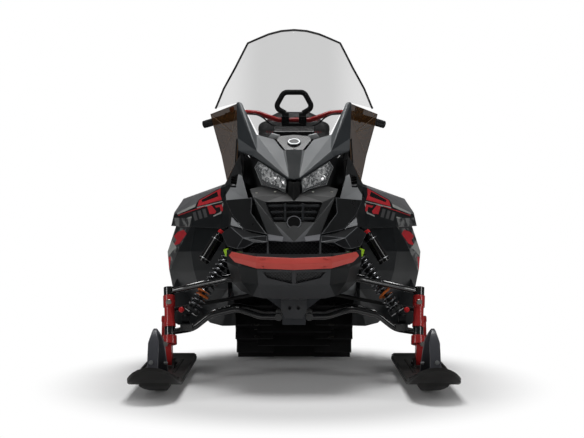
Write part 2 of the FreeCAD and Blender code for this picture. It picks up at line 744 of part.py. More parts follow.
def track():
    """One rubber loop: a belt, with a row of lugs to every pitch. By turns a row is one block
    across the middle, or a block at either edge."""
    half = TRACK_WIDTH / 2
    belt = loop_face(BELT_THICKNESS).cut(loop_face(0.0)).extrude(V(TRACK_WIDTH, 0, 0))
    belt.translate(V(-half, 0, 0))
    lugs = []
    for i in range(TRACK_PITCHES):
        share = (i + 0.5) / TRACK_PITCHES
        (u, z), (nx, nz) = loop_point(share, 0.0)
        tx, tz = -nz, nx
        low = BELT_THICKNESS - 1
        high = BELT_THICKNESS + LUG_HEIGHT
        outline = [(u + nx * low + tx * LUG_ROOT / 2, z + nz * low + tz * LUG_ROOT / 2),
                   (u + nx * high + tx * LUG_TIP / 2, z + nz * high + tz * LUG_TIP / 2),
                   (u + nx * high - tx * LUG_TIP / 2, z + nz * high - tz * LUG_TIP / 2),
                   (u + nx * low - tx * LUG_ROOT / 2, z + nz * low - tz * LUG_ROOT / 2)]
        if i % 2:
            spans = [(-half, -half * 0.36), (half * 0.36, half)]
        else:
            spans = [(-half * 0.62, half * 0.62)]
        lugs += [side_profile(outline, a, b) for a, b in spans]
    return belt.fuse(lugs)


def wheel(x, aft, z, radius):
    tyre = rod(at(x - WHEEL_WIDTH / 2, aft, z), at(x + WHEEL_WIDTH / 2, aft, z), radius)
    for side in (-1, 1):
        start = x + side * WHEEL_WIDTH / 2
        dish = rod(at(start, aft, z), at(start - side * 6, aft, z), radius - 14)
        dish = dish.cut(rod(at(start, aft, z), at(start - side * 6, aft, z), AXLE_RADIUS + 8))
        tyre = tyre.cut(dish)
    return tyre


def drive_axle():
    inner = TUNNEL_INNER_HALF - RUN_GAP
    shaft = rod(at(-inner, DRIVE_AFT, DRIVE_HEIGHT), at(inner, DRIVE_AFT, DRIVE_HEIGHT), 17)
    tooth = math.pi / 8
    outline = []
    for i in range(16):
        radius = DRIVE_RADIUS - 1 if i % 2 else DRIVE_RADIUS - 14
        for side in (-0.35, 0.35):
            a = tooth * i + tooth * side
            outline.append((DRIVE_AFT + radius * math.cos(a), DRIVE_HEIGHT + radius * math.sin(a)))
    gears = [side_profile(outline, x - 16, x + 16) for x in (-95, 95)]
    return fuse([shaft] + gears)


def slide_rails():
    """The two slide rails, with the plastic runners under them that carry the belt."""
    rest = LUG_HEIGHT + BELT_THICKNESS + RUN_GAP
    (cu, cz), radius = track_wheels()[1]
    axle = LUG_HEIGHT + BELT_THICKNESS + REAR_WHEEL_RADIUS
    steps = [math.radians(270 - RAIL_BEND_SWEEP * (1 - k / 6)) for k in range(7)]
    low = [(cu + (radius - RUN_GAP) * math.cos(a), cz + (radius - RUN_GAP) * math.sin(a))
           for a in steps]
    inner = radius - RAIL_HEIGHT + 16
    end = REAR_WHEEL_AFT + 26
    high = [(end - 46, rest), (end, rest + 52), (end, axle + 22), (end - 60, axle + 22),
            (end - 180, rest + RAIL_HEIGHT), (RAIL_BEND_AFT + 60, rest + RAIL_HEIGHT)]
    high += [(cu + inner * math.cos(a), cz + inner * math.sin(a)) for a in reversed(steps)]
    bore = rod(at(-200, REAR_WHEEL_AFT, axle), at(200, REAR_WHEEL_AFT, axle), AXLE_RADIUS + 0.3)
    return [side_profile(low + high, x - RAIL_THICKNESS / 2, x + RAIL_THICKNESS / 2).cut(bore)
            for x in (-RAIL_SPACING / 2, RAIL_SPACING / 2)]


def idler_wheels():
    """Rear wheels on their axle, the small wheels beside the rails and the two top carriers."""
    rest = LUG_HEIGHT + BELT_THICKNESS
    rear = rest + REAR_WHEEL_RADIUS
    made = []
    gap = RAIL_SPACING / 2 + RAIL_THICKNESS / 2 + RUN_GAP
    axle = rod(at(-205, REAR_WHEEL_AFT, rear), at(205, REAR_WHEEL_AFT, rear), AXLE_RADIUS)
    wheels = [wheel(x, REAR_WHEEL_AFT, rear, REAR_WHEEL_RADIUS - RUN_GAP) for x in (-185, 0, 185)]
    made.append(fuse([axle] + wheels))
    for aft in (1760.0, 2210.0):
        z = rest + RUN_GAP + BOGIE_RADIUS
        for side in (-1, 1):
            stub = rod(at(side * gap, aft, z), at(side * (gap + 44), aft, z), AXLE_RADIUS)
            made.append(fuse([stub, wheel(side * (gap + 30), aft, z, BOGIE_RADIUS)]))
    aft = 1900.0
    t1, t3, top = tangent(*track_wheels()[0], *track_wheels()[2], 1)
    belt = t1[1] + (t3[1] - t1[1]) * (aft - t1[0]) / (t3[0] - t1[0])
    z = belt - CARRIER_RADIUS / math.sin(top) - RUN_GAP
    inner = TUNNEL_INNER_HALF - RUN_GAP
    axle = rod(at(-inner, aft, z), at(inner, aft, z), AXLE_RADIUS)
    made.append(fuse([axle] + [wheel(x, aft, z, CARRIER_RADIUS) for x in (-95, 95)]))
    return made


def skid_suspension():
    """The front and rear arms that hang the rails from the tunnel, each with its damper."""
    inner = TUNNEL_INNER_HALF - RUN_GAP
    spread = RAIL_SPACING / 2 - RAIL_THICKNESS / 2 - RUN_GAP
    arms = []
    for top, foot, reach in (((1330.0, 330.0), (1600.0, 100.0), 96.0),
                             ((1980.0, 318.0), (2330.0, 100.0), 80.0)):
        cross = rod(at(-inner, *top), at(inner, *top), 15)
        base = rod(at(-spread, *foot), at(spread, *foot), 13)
        legs = [rod(at(x, *top), at(x, *foot), 13) for x in (-reach, reach)]
        high = at(0, *top)
        low = at(0, *foot)
        damper = [rod(low, high, 12), rod(along(low, high, 0.3), along(low, high, 0.86), 31)]
        arms.append(fuse([cross, base] + legs + damper))
    return arms


def tunnel():
    """The folded aluminium channel that covers the track and carries seat and boards."""
    half = TUNNEL_INNER_HALF + TUNNEL_WALL
    skirt = [(TUNNEL_FRONT_AFT, BOARD_HEIGHT - 18), (TUNNEL_FRONT_AFT, TUNNEL_TOP),
             (TUNNEL_REAR_AFT, TUNNEL_TOP), (TUNNEL_REAR_AFT, TUNNEL_TOP - 60),
             (BOARD_REAR_AFT, BOARD_HEIGHT - 18)]
    outer = side_profile(skirt, -half, half)
    hollow = box(-TUNNEL_INNER_HALF, TUNNEL_INNER_HALF, TUNNEL_FRONT_AFT + TUNNEL_WALL,
                 TUNNEL_REAR_AFT + 10, 0, TUNNEL_TOP - TUNNEL_WALL)
    plate = box(-TUNNEL_INNER_HALF, TUNNEL_INNER_HALF, TUNNEL_REAR_AFT - TUNNEL_WALL, TUNNEL_REAR_AFT,
                TUNNEL_TOP - TAIL_PLATE_DROP, TUNNEL_TOP + TAIL_PLATE_RISE)
    return fuse([outer.cut(hollow), plate])


def running_board():
    """A pressed tread with an upturned outer edge, slotted so that snow falls through."""
    inner = TUNNEL_INNER_HALF + TUNNEL_WALL + RUN_GAP
    outer = inner + BOARD_WIDTH
    tread = box(inner, outer, BOARD_FRONT_AFT, BOARD_REAR_AFT, BOARD_HEIGHT,
                BOARD_HEIGHT + BOARD_THICKNESS)
    lip = box(outer - BOARD_THICKNESS, outer, BOARD_FRONT_AFT, BOARD_REAR_AFT,
              BOARD_HEIGHT, BOARD_HEIGHT + BOARD_LIP)
    flange = box(inner, inner + BOARD_THICKNESS, BOARD_FRONT_AFT, BOARD_REAR_AFT,
                 BOARD_HEIGHT - BOARD_LIP, BOARD_HEIGHT + BOARD_THICKNESS)
    made = fuse([tread, lip, flange])
    slot = 62.0
    pitch = 92.0
    count = int((BOARD_REAR_AFT - BOARD_FRONT_AFT - 120) // pitch)
    margin = 26.0
    for i in range(count):
        start = BOARD_FRONT_AFT + 70 + i * pitch
        made = made.cut(box(inner + margin, outer - margin, start, start + slot,
                            BOARD_HEIGHT - 1, BOARD_HEIGHT + BOARD_THICKNESS + 1))
    return made


# Body panels, in half outlines at x >= 0
HOOD = {
    "tip": (0, 552, 800), "tip_edge": (20, 558, 804), "spine": (33, 765, 920), "crest": (0, 764, 924),
    "brow": (148, 700, 914), "base": (154, 860, 987), "badge_high": (80, 842, 966),
    "badge_low": (45, 770, 920), "horn": (219, 1000, 1126), "horn_mid": (231, 999, 1130),
    "horn_out": (243, 1002, 1127), "shoulder": (232, 852, 972), "cheek": (226, 762, 917),
    "lid_out": (166, 690, 894), "lid_in": (25, 563, 797),
}


def hood():
    names = list(HOOD)
    places = [HOOD[n] for n in names]
    facets = [["tip", "tip_edge", "spine", "crest"],
              ["tip_edge", "brow", "base", "badge_high", "badge_low", "spine"],
              ["brow", "horn_mid", "horn", "base"],
              ["brow", "lid_out", "cheek", "shoulder", "horn_out", "horn_mid"],
              ["tip_edge", "lid_in", "lid_out", "brow"]]
    polygons = [[names.index(n) for n in facet] for facet in facets]
    made = shell(*both_sides(places, polygons), SKIN, (0, 1400, 300))
    return stand_on_beam(made, 120)


def stand_on_beam(piece, x):
    """Seats a panel on the dash beam with a stud at either side."""
    above = beam_aft() - BEAM_DEPTH / 2
    for side in (-x, x):
        piece = stud(piece, bay_frame(), at(side, above, BEAM_TOP + 30), V(0, 0, -1))
    return piece


def badge_plate():
    """The dark plate at the windshield's foot, with a plain round boss."""
    half = [(0, 770, 921), (37, 778, 921), (71, 848, 963), (64, 884, 981), (0, 892, 987)]
    polygons = [[0, 1, 2, 3, 4]]
    plate = shell(*both_sides(half, polygons), SKIN, (0, 1400, 300))
    slope = V(0, -0.49, 0.87)
    centre = at(0, 822, 951)
    return stand_on_beam(fuse([plate, rod(centre - slope * 4, centre + slope * 5, 27)]), 30)


def headlight():
    outline = [(29, 577, 799), (141, 684, 874), (158, 692, 849), (134, 652, 779), (64, 602, 763),
               (29, 572, 746)]
    polygons = [[0, 1, 2, 3, 4, 5]]
    made = shell(outline, polygons, LAMP_DEPTH, (80, 1400, 800))
    pocket = lamp_pocket()
    for x, z in ((68, 790), (112, 818)):
        made = stud(made, pocket, at(x, 560, z), V(0, 1, 0))
    return made


def lamp_pocket():
    """The dark backing behind both lamps, out to the fins."""
    half = [(0, 662, 806), (24, 664, 806), (160, 796, 886), (206, 852, 894), (204, 806, 812),
            (176, 742, 744), (24, 654, 736), (0, 652, 736)]
    polygons = [[0, 1, 6, 7], [1, 2, 5, 6], [2, 3, 4, 5]]
    made = shell(*both_sides(half, polygons), SKIN, (0, 1400, 700))
    for x in (-100, 100):
        made = stud(made, bay_frame(), at(x, beam_aft() - BEAM_DEPTH - 50, BEAM_TOP - BEAM_DEPTH / 2),
                    V(0, 1, 0))
    return made


NOSE = [(0, 546, 788), (21, 550, 788), (23, 556, 741), (63, 592, 757), (136, 642, 772),
        (175, 634, 762), (160, 536, 731), (112, 520, 711), (0, 506, 714), (78, 470, 634),
        (48, 428, 590), (100, 431, 588), (97, 413, 566), (44, 405, 563), (0, 400, 560), (0, 463, 634)]


def nose():
    """The centre of the face: the plate under the lamps, the grille's frame and the lower lip."""
    facets = [[0, 1, 2, 8], [2, 3, 4, 5, 6, 7, 8], [6, 11, 10, 9, 7], [9, 10, 14, 15],
              [10, 13, 14], [10, 11, 12, 13]]
    made = shell(*both_sides(NOSE, facets), SKIN, (0, 1400, 600))
    for x in (-STAY_HALF, STAY_HALF):
        made = stud(made, bumper(), at(x, 450, 530), V(0, 0, -1))
    return made


def grille():
    """Three cross slats and two uprights, set back inside the nose's frame, on a dark back."""
    slope = 0.55
    low = 634
    foot = 468
    bars = []
    for z, half in ((696, 98), (672, 88), (648, 77)):
        front = foot + (z - low) * slope
        bars.append(box(-half, half, front, front + 16, z - 4, z + 4))
    for x in (-34, 34):
        bars.append(side_profile([(494, 706), (506, 706), (478, 638), (466, 638)], x - 4, x + 4))
    back = [(124, 711), (92, 636), (-92, 636), (-124, 711)]
    plate = [at(x, foot + 32 + (z - low) * slope, z) for x, z in back]
    bars.append(prism(plate, V(0, 5, 0)))
    bars += [box(x - 4, x + 4, 480, 520, 666, 678) for x in (-34, 34)]
    made = fuse(bars)
    frame = nose()
    for side in (-1, 1):
        made = stud(made, frame, at(side * 107, 560, 690), V(0, -1, 0))
    return made


def wall_stud(piece, aft, z):
    """Seats a panel on the outer face of the bay wall."""
    return stud(piece, bay_frame(), at(WALL_HALF + 9, aft, z), V(-1, 0, 0))


def front_panel():
    outline = [(164, 540, 728), (275, 700, 718), (243, 640, 656), (192, 543, 604), (106, 434, 589),
               (168, 534, 668)]
    polygons = [[5, 0, 1, 2], [5, 2, 3], [5, 3, 4]]
    return wall_stud(shell(outline, polygons, SKIN, (100, 1400, 600)), 662, 692)


def fin():
    """The vented upright beside the lamps, from the front panel up to the windshield's foot."""
    outline = [(181, 638, 719), (272, 718, 712), (279, 762, 771), (240, 822, 869), (217, 800, 905),
               (216, 768, 885), (208, 700, 812)]
    polygons = [[0, 1, 2, 6], [6, 2, 3, 5], [5, 3, 4]]
    made = shell(outline, polygons, SKIN, (100, 1500, 700))
    vent = prism([at(224, 500, 822), at(254, 500, 812), at(254, 500, 768), at(232, 500, 768)],
                 V(0, 500, 0))
    return wall_stud(made.cut(vent), 748, 776)


def cheek():
    """The lower corner of the face, below the front panel and above the bumper's end."""
    points = [(104, 434, 583), (165, 502, 592), (204, 566, 606), (252, 626, 613), (289, 664, 585),
              (262, 566, 539), (221, 486, 531), (190, 456, 536), (151, 424, 559), (102, 409, 560),
              (196, 478, 573)]
    polygons = [[10, 9, 0, 1], [10, 1, 2], [10, 2, 3], [10, 3, 4, 5], [10, 5, 6], [10, 6, 7],
                [10, 7, 8], [10, 8, 9]]
    return wall_stud(shell(points, polygons, SKIN, (100, 1400, 560)), 590, 560)


def corner_facet():
    """The pale three-cornered facet between front panel and cheek."""
    outline = [(248, 642, 650), (200, 548, 605), (209, 566, 610), (251, 624, 619)]
    return wall_stud(shell(outline, [[0, 1, 2, 3]], SKIN, (100, 1400, 560)), 606, 625)


def intake():
    """The dark meshed recess between the lip and the bumper, on feet on the bumper's stays."""
    half = [(0, 470, 556), (105, 474, 556), (170, 494, 535), (180, 500, 514), (0, 474, 508)]
    back = shell(*both_sides(half, [[0, 1, 2, 3, 4]]), SKIN, (0, 1400, 540))
    feet = [box(x - 8, x + 8, 476, 492, STAY_LOW + STAY_DEPTH + RUN_GAP, 516)
            for x in (-STAY_HALF, STAY_HALF)]
    return fuse([back] + feet)


def bumper():
    """A pressed steel band across the nose, cranked at two bends, on two stays from the frame."""
    half = BUMPER_BAND / 2
    rows = [[(0, 340, 479 + half), (142, 358, 484 + half), (238, 430, 504 + half * 0.8)],
            [(0, 326, 479), (142, 344, 484), (250, 430, 507)],
            [(0, 340, 479 - half), (142, 358, 484 - half), (226, 424, 500 - half * 0.8)]]
    points, polygons = grid(rows)
    band = shell(*both_sides(points, polygons), BUMPER_THICKNESS, (0, 1400, 480))
    stays = [box(x - 12, x + 12, 348, FRAME_FRONT_AFT - RUN_GAP, STAY_LOW, STAY_LOW + STAY_DEPTH)
             for x in (-STAY_HALF, STAY_HALF)]
    feet = [box(x - 12, x + 12, FRAME_FRONT_AFT - RUN_GAP - 4, FRAME_FRONT_AFT - RUN_GAP,
                FRAME_DECK_HEIGHT - 34, STAY_LOW + 2) for x in (-STAY_HALF, STAY_HALF)]
    return fuse([band] + stays + feet)


def belly_pan():
    """The nose under the bumper: a wide middle facet with two windows, two swept corners and
    the guard over the front pivots."""
    rows = [[(0, 395, 514), (140, 408, 516), (222, 458, 520), (262, 535, 526)],
            [(0, 362, 455), (140, 382, 456), (215, 440, 462), (262, 528, 478)],
            [(0, 396, 395), (136, 414, 396), (200, 470, 402), (240, 560, 396)],
            [(0, 470, 338), (118, 482, 339), (160, 510, 346), (206, 566, 362)]]
    points, polygons = grid(rows)
    made = shell(*both_sides(points, polygons), SKIN, (0, 1400, 480))
    low = 402.0
    high = 446.0
    for side in (-1, 1):
        window = [at(side * 8, 300, high), at(side * 118, 300, high), at(side * 100, 300, low + 22),
                  at(side * 8, 300, low)]
        made = made.cut(prism(window, V(0, 200, 0)))
        slot = STAY_HALF * side
        made = made.cut(box(slot - 14, slot + 14, 300, 500, STAY_LOW - 3, STAY_LOW + STAY_DEPTH + 3))
    nose = FRAME_FRONT_AFT - RUN_GAP
    outline = [(34, FRAME_FOOT_HEIGHT + 26), (50, 296), (50, 345)]
    guard = cross_profile(outline + [(-x, z) for x, z in reversed(outline)], nose - 24, nose)
    bridge = side_profile([(472, 338), (nose, 330), (nose, 344), (476, 346)], -50, 50)
    for x in (-17, 17):
        guard = guard.cut(rod(at(x, nose - 30, 300), at(x, nose - 8, 300), 6.5))
    return fuse([made, guard, bridge])


SIDE_ROWS = [
    [(238, 838, 872), (226, 960, 900), (212, 1150, 922), (192, 1350, 898), (176, 1520, 848)],
    [(274, 788, 774), (288, 960, 784), (298, 1150, 786), (268, 1350, 784), (232, 1520, 760)],
    [(287, 782, 730), (396, 960, 742), (477, 1150, 722), (468, 1350, 716), (300, 1520, 690)],
    [(290, 782, 660), (428, 960, 672), (518, 1160, 662), (512, 1360, 656), (322, 1520, 650)],
    [(292, 782, 602), (428, 960, 604), (532, 1170, 604), (526, 1370, 604), (330, 1520, 604)],
]
SIDE_RETURN = [(258, 722, 722), (236, 690, 662), (240, 690, 618)]
WING_ROWS = [
    [(276, 842, 622), (410, 966, 624), (504, 1176, 626), (500, 1366, 624), (414, 1440, 622)],
    [(282, 842, 510), (432, 970, 502), (549, 1184, 492), (544, 1384, 492), (450, 1448, 492)],
    [(276, 842, 430), (420, 974, 422), (543, 1188, 415), (538, 1384, 415), (450, 1446, 415)],
    [(270, 842, 352), (398, 978, 346), (528, 1190, 340), (524, 1384, 340), (440, 1440, 340)],
    [(272, 888, 298), (332, 1010, 268), (412, 1150, 235), (424, 1330, 240), (408, 1420, 300)],
    [(272, 1062, 180), (306, 1080, 178), (362, 1140, 186), (384, 1260, 215), (392, 1390, 290)],
]
WING_RETURN = [(262, 864, 618), (260, 864, 510), (258, 864, 430), (254, 856, 356), (246, 874, 296),
               (246, 1030, 184)]


def side_panel():
    """Broad side panel. Its front edge turns inward below the vented upright, behind the face."""
    points, polygons = grid(SIDE_ROWS)
    edge = [row * len(SIDE_ROWS[0]) for row in (2, 3, 4)]
    turned = [len(points) + row for row in range(3)]
    points = points + SIDE_RETURN
    polygons = polygons + [[turned[0], edge[0], edge[1], turned[1]],
                           [turned[1], edge[1], edge[2], turned[2]]]
    made = wall_stud(shell(points, polygons, SKIN, (0, 1250, 650)), 835, 690)
    return stud(made, tank(), at(TANK_HALF + 10, 1480, 740), V(-1, 0, 0))


def foot_wing():
    """The wing ahead of the rider's boot. Its inner edge turns in across the tunnel's mouth."""
    points, polygons = grid(WING_ROWS)
    count = len(WING_ROWS[0])
    first = len(points)
    points = points + WING_RETURN
    polygons = polygons + [[first + row, row * count, (row + 1) * count, first + row + 1]
                           for row in range(len(WING_ROWS) - 1)]
    made = shell(points, polygons, SKIN, (200, 1350, 480))
    return stud(made, tunnel(), at(TUNNEL_INNER_HALF + 20, 910, 450), V(-1, 0, 0))


def corner_marker():
    """The lime marker beside the bumper's end."""
    outline = [(259, 550, 531), (277, 578, 523), (270, 590, 496), (261, 550, 500)]
    return wall_stud(shell(outline, [[0, 1, 2, 3]], SKIN, (100, 1400, 520)), 573, 512)


CONSOLE_ROWS = [
    [(0, 903, 962), (75, 905, 955), (150, 916, 940), (200, 940, 902)],
    [(0, 1060, 968), (80, 1060, 962), (150, 1060, 950), (204, 1060, 918)],
    [(0, 1160, 962), (80, 1160, 958), (150, 1160, 948), (203, 1160, 918)],
    [(0, 1330, 918), (80, 1330, 914), (140, 1330, 908), (186, 1345, 894)],
    [(0, 1530, 876), (70, 1530, 872), (120, 1530, 862), (168, 1525, 842)],
]


def console():
    """Dash behind the windshield, holed for the steering column. Two bosses at its front carry
    the windshield's foot, and its rear stands on the tank."""
    points, polygons = grid(CONSOLE_ROWS)
    made = shell(*both_sides(points, polygons), SKIN, (0, 1250, 400))
    top, down = steering_axis()
    made = made.cut(rod(top, top + down * COLUMN_LENGTH, COLUMN_RADIUS + 20))
    foot = SHIELD_FOOT_AFT
    bosses = [box(x - 14, x + 14, foot - 1, foot + 9, 952, SHIELD_FOOT_HEIGHT - RUN_GAP)
              for x in (-36, 36)]
    made = fuse([made] + bosses)
    for x in (-60, 60):
        made = stud(made, tank(), at(x, 1400, 885), V(0, 0, -1))
    return made


def gauge():
    """The instrument pod on the console: a tilted screen in a hooded case."""
    (low, high) = [row[0] for row in CONSOLE_ROWS[1:3]]
    slope = (high[2] - low[2]) / (high[1] - low[1])
    front = low[1] + 6
    rear = high[1] - 4
    base = low[2] + 6 * slope + RUN_GAP
    foot = high[2] - 4 * slope + RUN_GAP
    profile = [(front, base), (front + 12, base + 40), (front + 58, base + 66), (rear - 8, base + 48),
               (rear, foot)]
    return side_profile(profile, -88, 88)


def steering_axis():
    rake = math.radians(COLUMN_RAKE)
    return at(0, BAR_AFT, BAR_HEIGHT), V(0, -math.sin(rake), -math.cos(rake))


def tank():
    """The fuel tank under the console's rear, which the driver's knees grip."""
    rear = 1640.0
    front = 1380.0
    wide = TANK_HALF
    base = TUNNEL_TOP + RUN_GAP
    sections = []
    for u, half, high in ((front, wide, 862), (1520, wide, 826), (rear, wide - 22, 790)):
        sections.append([at(-half, u, base), at(half, u, base), at(half, u, high - 60),
                         at(half - 50, u, high), at(-half + 50, u, high), at(-half, u, high - 60)])
    return loft(sections)


def seat_form(stations):
    """A cushion from stations of (aft, half width low, half width high, low, high)."""
    sections = []
    for u, low_half, high_half, low, high in stations:
        sections.append([at(-low_half, u, low), at(low_half, u, low), at(high_half, u, high - 45),
                         at(high_half - 48, u, high), at(-high_half + 48, u, high),
                         at(-high_half, u, high - 45)])
    return loft(sections)


def driver_seat():
    half = SEAT_WIDTH / 2
    base = TUNNEL_TOP + RUN_GAP
    top = FRONT_SEAT_TOP
    return seat_form([(1645, half - 40, half - 52, base, top - 36),
                      (1760, half - 10, half - 34, base, top - 14),
                      (1960, half + 12, half - 4, base, top - 6),
                      (2160, half + 14, half + 2, base, top)])


def rear_seat():
    half = SEAT_WIDTH / 2
    base = TUNNEL_TOP + RUN_GAP
    top = REAR_SEAT_TOP
    return seat_form([(2164, half + 10, half - 14, base, top - 26),
                      (2260, half + 14, half + 6, base, top),
                      (2480, half + 16, half + 12, base, top - 4),
                      (2660, half + 8, half + 4, base, top - 8)])


def backrest():
    """The passenger's upright pad."""
    half = BACKREST_WIDTH / 2
    low = REAR_SEAT_TOP + 22
    top = BACKREST_TOP
    outline = [(half * 0.74, low), (half, low + 70), (half, low + 176), (half * 0.62, top - 22),
               (half * 0.4, top)]
    outline = outline + [(-x, z) for x, z in reversed(outline)]
    made = cross_profile(outline, 2640, 2706)
    lean = side_profile([(2622, low - 1), (2676, low - 1), (2720, top + 1), (2666, top + 1)],
                        -half - 1, half + 1)
    return made.common(lean)


def backrest_frame():
    """Two tubes behind the pad, from the rear rack, with the passenger's grab handles."""
    low = TUNNEL_TOP + RUN_GAP
    made = []
    for side in (-1, 1):
        x = side * 120
        post = tube([at(x, 2720, low), at(x, 2720, 900), at(x, 2742, 1130)], 12, 80)
        grab = tube([at(x, 2724, 930), at(side * 228, 2715, 930), at(side * 246, 2600, 900),
                     at(side * 246, 2470, 872)], 12, 50)
        made.append(fuse([post, grab]))
    cross = rod(at(-120, 2742, 1120), at(120, 2742, 1120), 11)
    made = fuse(made + [cross])
    pad = backrest()
    for x in (-70, 70):
        made = stud(made, pad, at(x, 2728, 1120), V(0, -1, 0))
    return made


def rack():
    """Cargo rack behind the seat: a tube frame on four posts, with three cross slats. The outer
    slats are drilled for a cargo box."""
    z = RACK_HEIGHT
    r = RACK_TUBE_RADIUS
    half = 215
    ring = tube([at(-150, 2790, z), at(-half, 2830, z), at(-half, 3110, z), at(half, 3110, z),
                 at(half, 2830, z), at(150, 2790, z)], r, 45)
    parts = [ring, rod(at(-150, 2790, z), at(150, 2790, z), r)]
    middle = RACK_HOLES_AFT
    step = RACK_HOLES_LONG / 2
    for u in (middle - step, middle, middle + step):
        parts.append(box(-half, half, u - 14, u + 14, z - 4, z + 8))
    for x in (-half, half):
        for u in (2850, 3000):
            parts.append(rod(at(x, u, TUNNEL_TOP + RUN_GAP), at(x, u, z), r - 2))
    made = fuse(parts)
    for x in (-RACK_HOLES_WIDE / 2, RACK_HOLES_WIDE / 2):
        for u in (middle - step, middle + step):
            made = made.cut(rod(at(x, u, z - 20), at(x, u, z + 20), RACK_HOLE_RADIUS))
    return made


def rear_bumper():
    """The tube round the tail that the machine is lifted by."""
    half = TUNNEL_INNER_HALF + TUNNEL_WALL + RUN_GAP + BUMPER_TUBE_RADIUS
    z = TUNNEL_TOP - 34
    return tube([at(half, 2840, z), at(half, 3040, z), at(half - 14, 3165, z + 34),
                 at(-half + 14, 3165, z + 34), at(-half, 3040, z), at(-half, 2840, z)],
                BUMPER_TUBE_RADIUS, 60)


def tail_light():
    back = TUNNEL_REAR_AFT + RUN_GAP
    low = TUNNEL_TOP - 4
    top = TUNNEL_TOP + TAIL_PLATE_RISE - 4
    return side_profile([(back, low), (back + 38, low), (back + 48, low + 16), (back + 36, top),
                         (back, top)], -80, 80)


def snow_flap():
    half = TUNNEL_INNER_HALF - 16
    start = TUNNEL_REAR_AFT + RUN_GAP
    z = TUNNEL_TOP - 12
    line = [(start, z), (start + 6, z - 60), (start + 46, z - 150), (OVERALL_LENGTH - 60, z - 250),
            (OVERALL_LENGTH - FLAP_THICKNESS, z - 372)]
    outline = line + [(u + FLAP_THICKNESS, v) for u, v in reversed(line)]
    return side_profile(outline, -half, half)


# Windshield
def shield_slab(grow):
    """The shield's bowed and leaning sheet, grown in thickness, before it is cut to its outline."""
    low = SHIELD_FOOT_HEIGHT - 60
    rise = 600.0
    reach = 380.0
    foot = SHIELD_FOOT_AFT - 60 * SHIELD_LEAN - grow
    curve = Part.BSplineCurve()
    curve.interpolate([at(x, foot + SHIELD_BOW * x * x, low)
                       for x in [reach * k / 6 for k in range(-6, 7)]])
    sheet = curve.toShape().extrude(V(0, SHIELD_LEAN * rise, rise))
    return sheet.extrude(V(0, SHIELD_THICKNESS + 2 * grow, 0))


SHIELD_EDGE = [(343, 1114), (338, 1124), (307, 1200), (257, 1290), (202, 1399), (110, 1434),
               (55, 1447), (0, 1451)]
SHIELD_FOOT = [(0, SHIELD_FOOT_HEIGHT), (70, SHIELD_FOOT_HEIGHT), (150, 993), (212, 1112), (246, 1132)]


def shield_outline():
    outline = SHIELD_FOOT + SHIELD_EDGE + [(-x, z) for x, z in reversed(SHIELD_EDGE[:-1])]
    outline += [(-x, z) for x, z in reversed(SHIELD_FOOT[1:])]
    return outline


def shield_window(grow=0.0):
    """The windshield's outline as a block right through it, grown by a margin."""
    face = polygon_face([at(x, 600, z) for x, z in shield_outline()])
    if grow:
        face = face.makeOffset2D(grow, 2)
    return face.extrude(V(0, 1000, 0))


def windshield():
    return shield_slab(0.0).common(shield_window())


def windshield_trim():
    """The rubber channel that caps the windshield down both sides and over the top."""
    rim = SHIELD_EDGE + [(-x, z) for x, z in reversed(SHIELD_EDGE[:-1])]
    band = []
    for side, reach in ((1, SHIELD_TRIM * 0.3), (-1, SHIELD_TRIM * 0.7)):
        row = []
        for i, (x, z) in enumerate(rim):
            before = rim[max(i - 1, 0)]
            after = rim[min(i + 1, len(rim) - 1)]
            dx, dz = after[0] - before[0], after[1] - before[1]
            size = math.hypot(dx, dz)
            row.append((x + side * reach * dz / size, z - side * reach * dx / size))
        band.append(row)
    around = prism([at(x, 600, z) for x, z in band[0] + list(reversed(band[1]))], V(0, 1000, 0))
    channel = shield_slab(2.5).common(around)
    return channel.cut(shield_slab(0.3).common(shield_window(0.3)))


def deflector():
    """The smoked hand guard beside the windshield, folded once across its middle."""
    points = [(239, 1010, 1124), (366, 1230, 1091), (353, 1216, 1041), (309, 1075, 904),
              (284, 860, 788), (248, 832, 868), (230, 862, 971), (262, 1010, 1004)]
    polygons = [[7, 6, 0], [7, 0, 1, 2], [7, 2, 3], [7, 3, 5, 6], [3, 4, 5]]
    made = shell(points, polygons, SHIELD_THICKNESS, (0, 1400, 900))
    return stud(made, side_panel(), at(310, 868, 826), V(-1, 0, 0))


# Steering
def bar_points():
    """The bar's bends on the left, from the clamp out to the end."""
    return [at(72, BAR_AFT, BAR_HEIGHT), at(165, BAR_AFT - 5, BAR_HEIGHT + 32),
            at(215, BAR_AFT + 10, BAR_HEIGHT + 36),
            at(BAR_END_HALF, BAR_AFT + BAR_SWEEP, BAR_HEIGHT - BAR_DROP)]


def handlebar():
    """The red bar: flat in the clamps, then up, out and back to the grips."""
    half = bar_points()
    path = [V(-p.x, p.y, p.z) for p in reversed(half)] + half
    return tube(path, BAR_RADIUS, 50)


def grip_line(side):
    """End and outward direction of the bar's straight outer stretch, which holds the grip."""
    start, end = [V(side * p.x, p.y, p.z) for p in bar_points()[-2:]]
    return end, (end - start).normalize()


def grip():
    end, axis = grip_line(1)
    body = rod(end - axis * GRIP_LENGTH, end + axis * 8, GRIP_RADIUS)
    flange = rod(end - axis * GRIP_LENGTH, end - axis * (GRIP_LENGTH - 5), GRIP_RADIUS + 6)
    bore = rod(end - axis * (GRIP_LENGTH + 5), end + axis * 0.3, BAR_RADIUS + 0.3)
    return fuse([body, flange]).cut(bore)


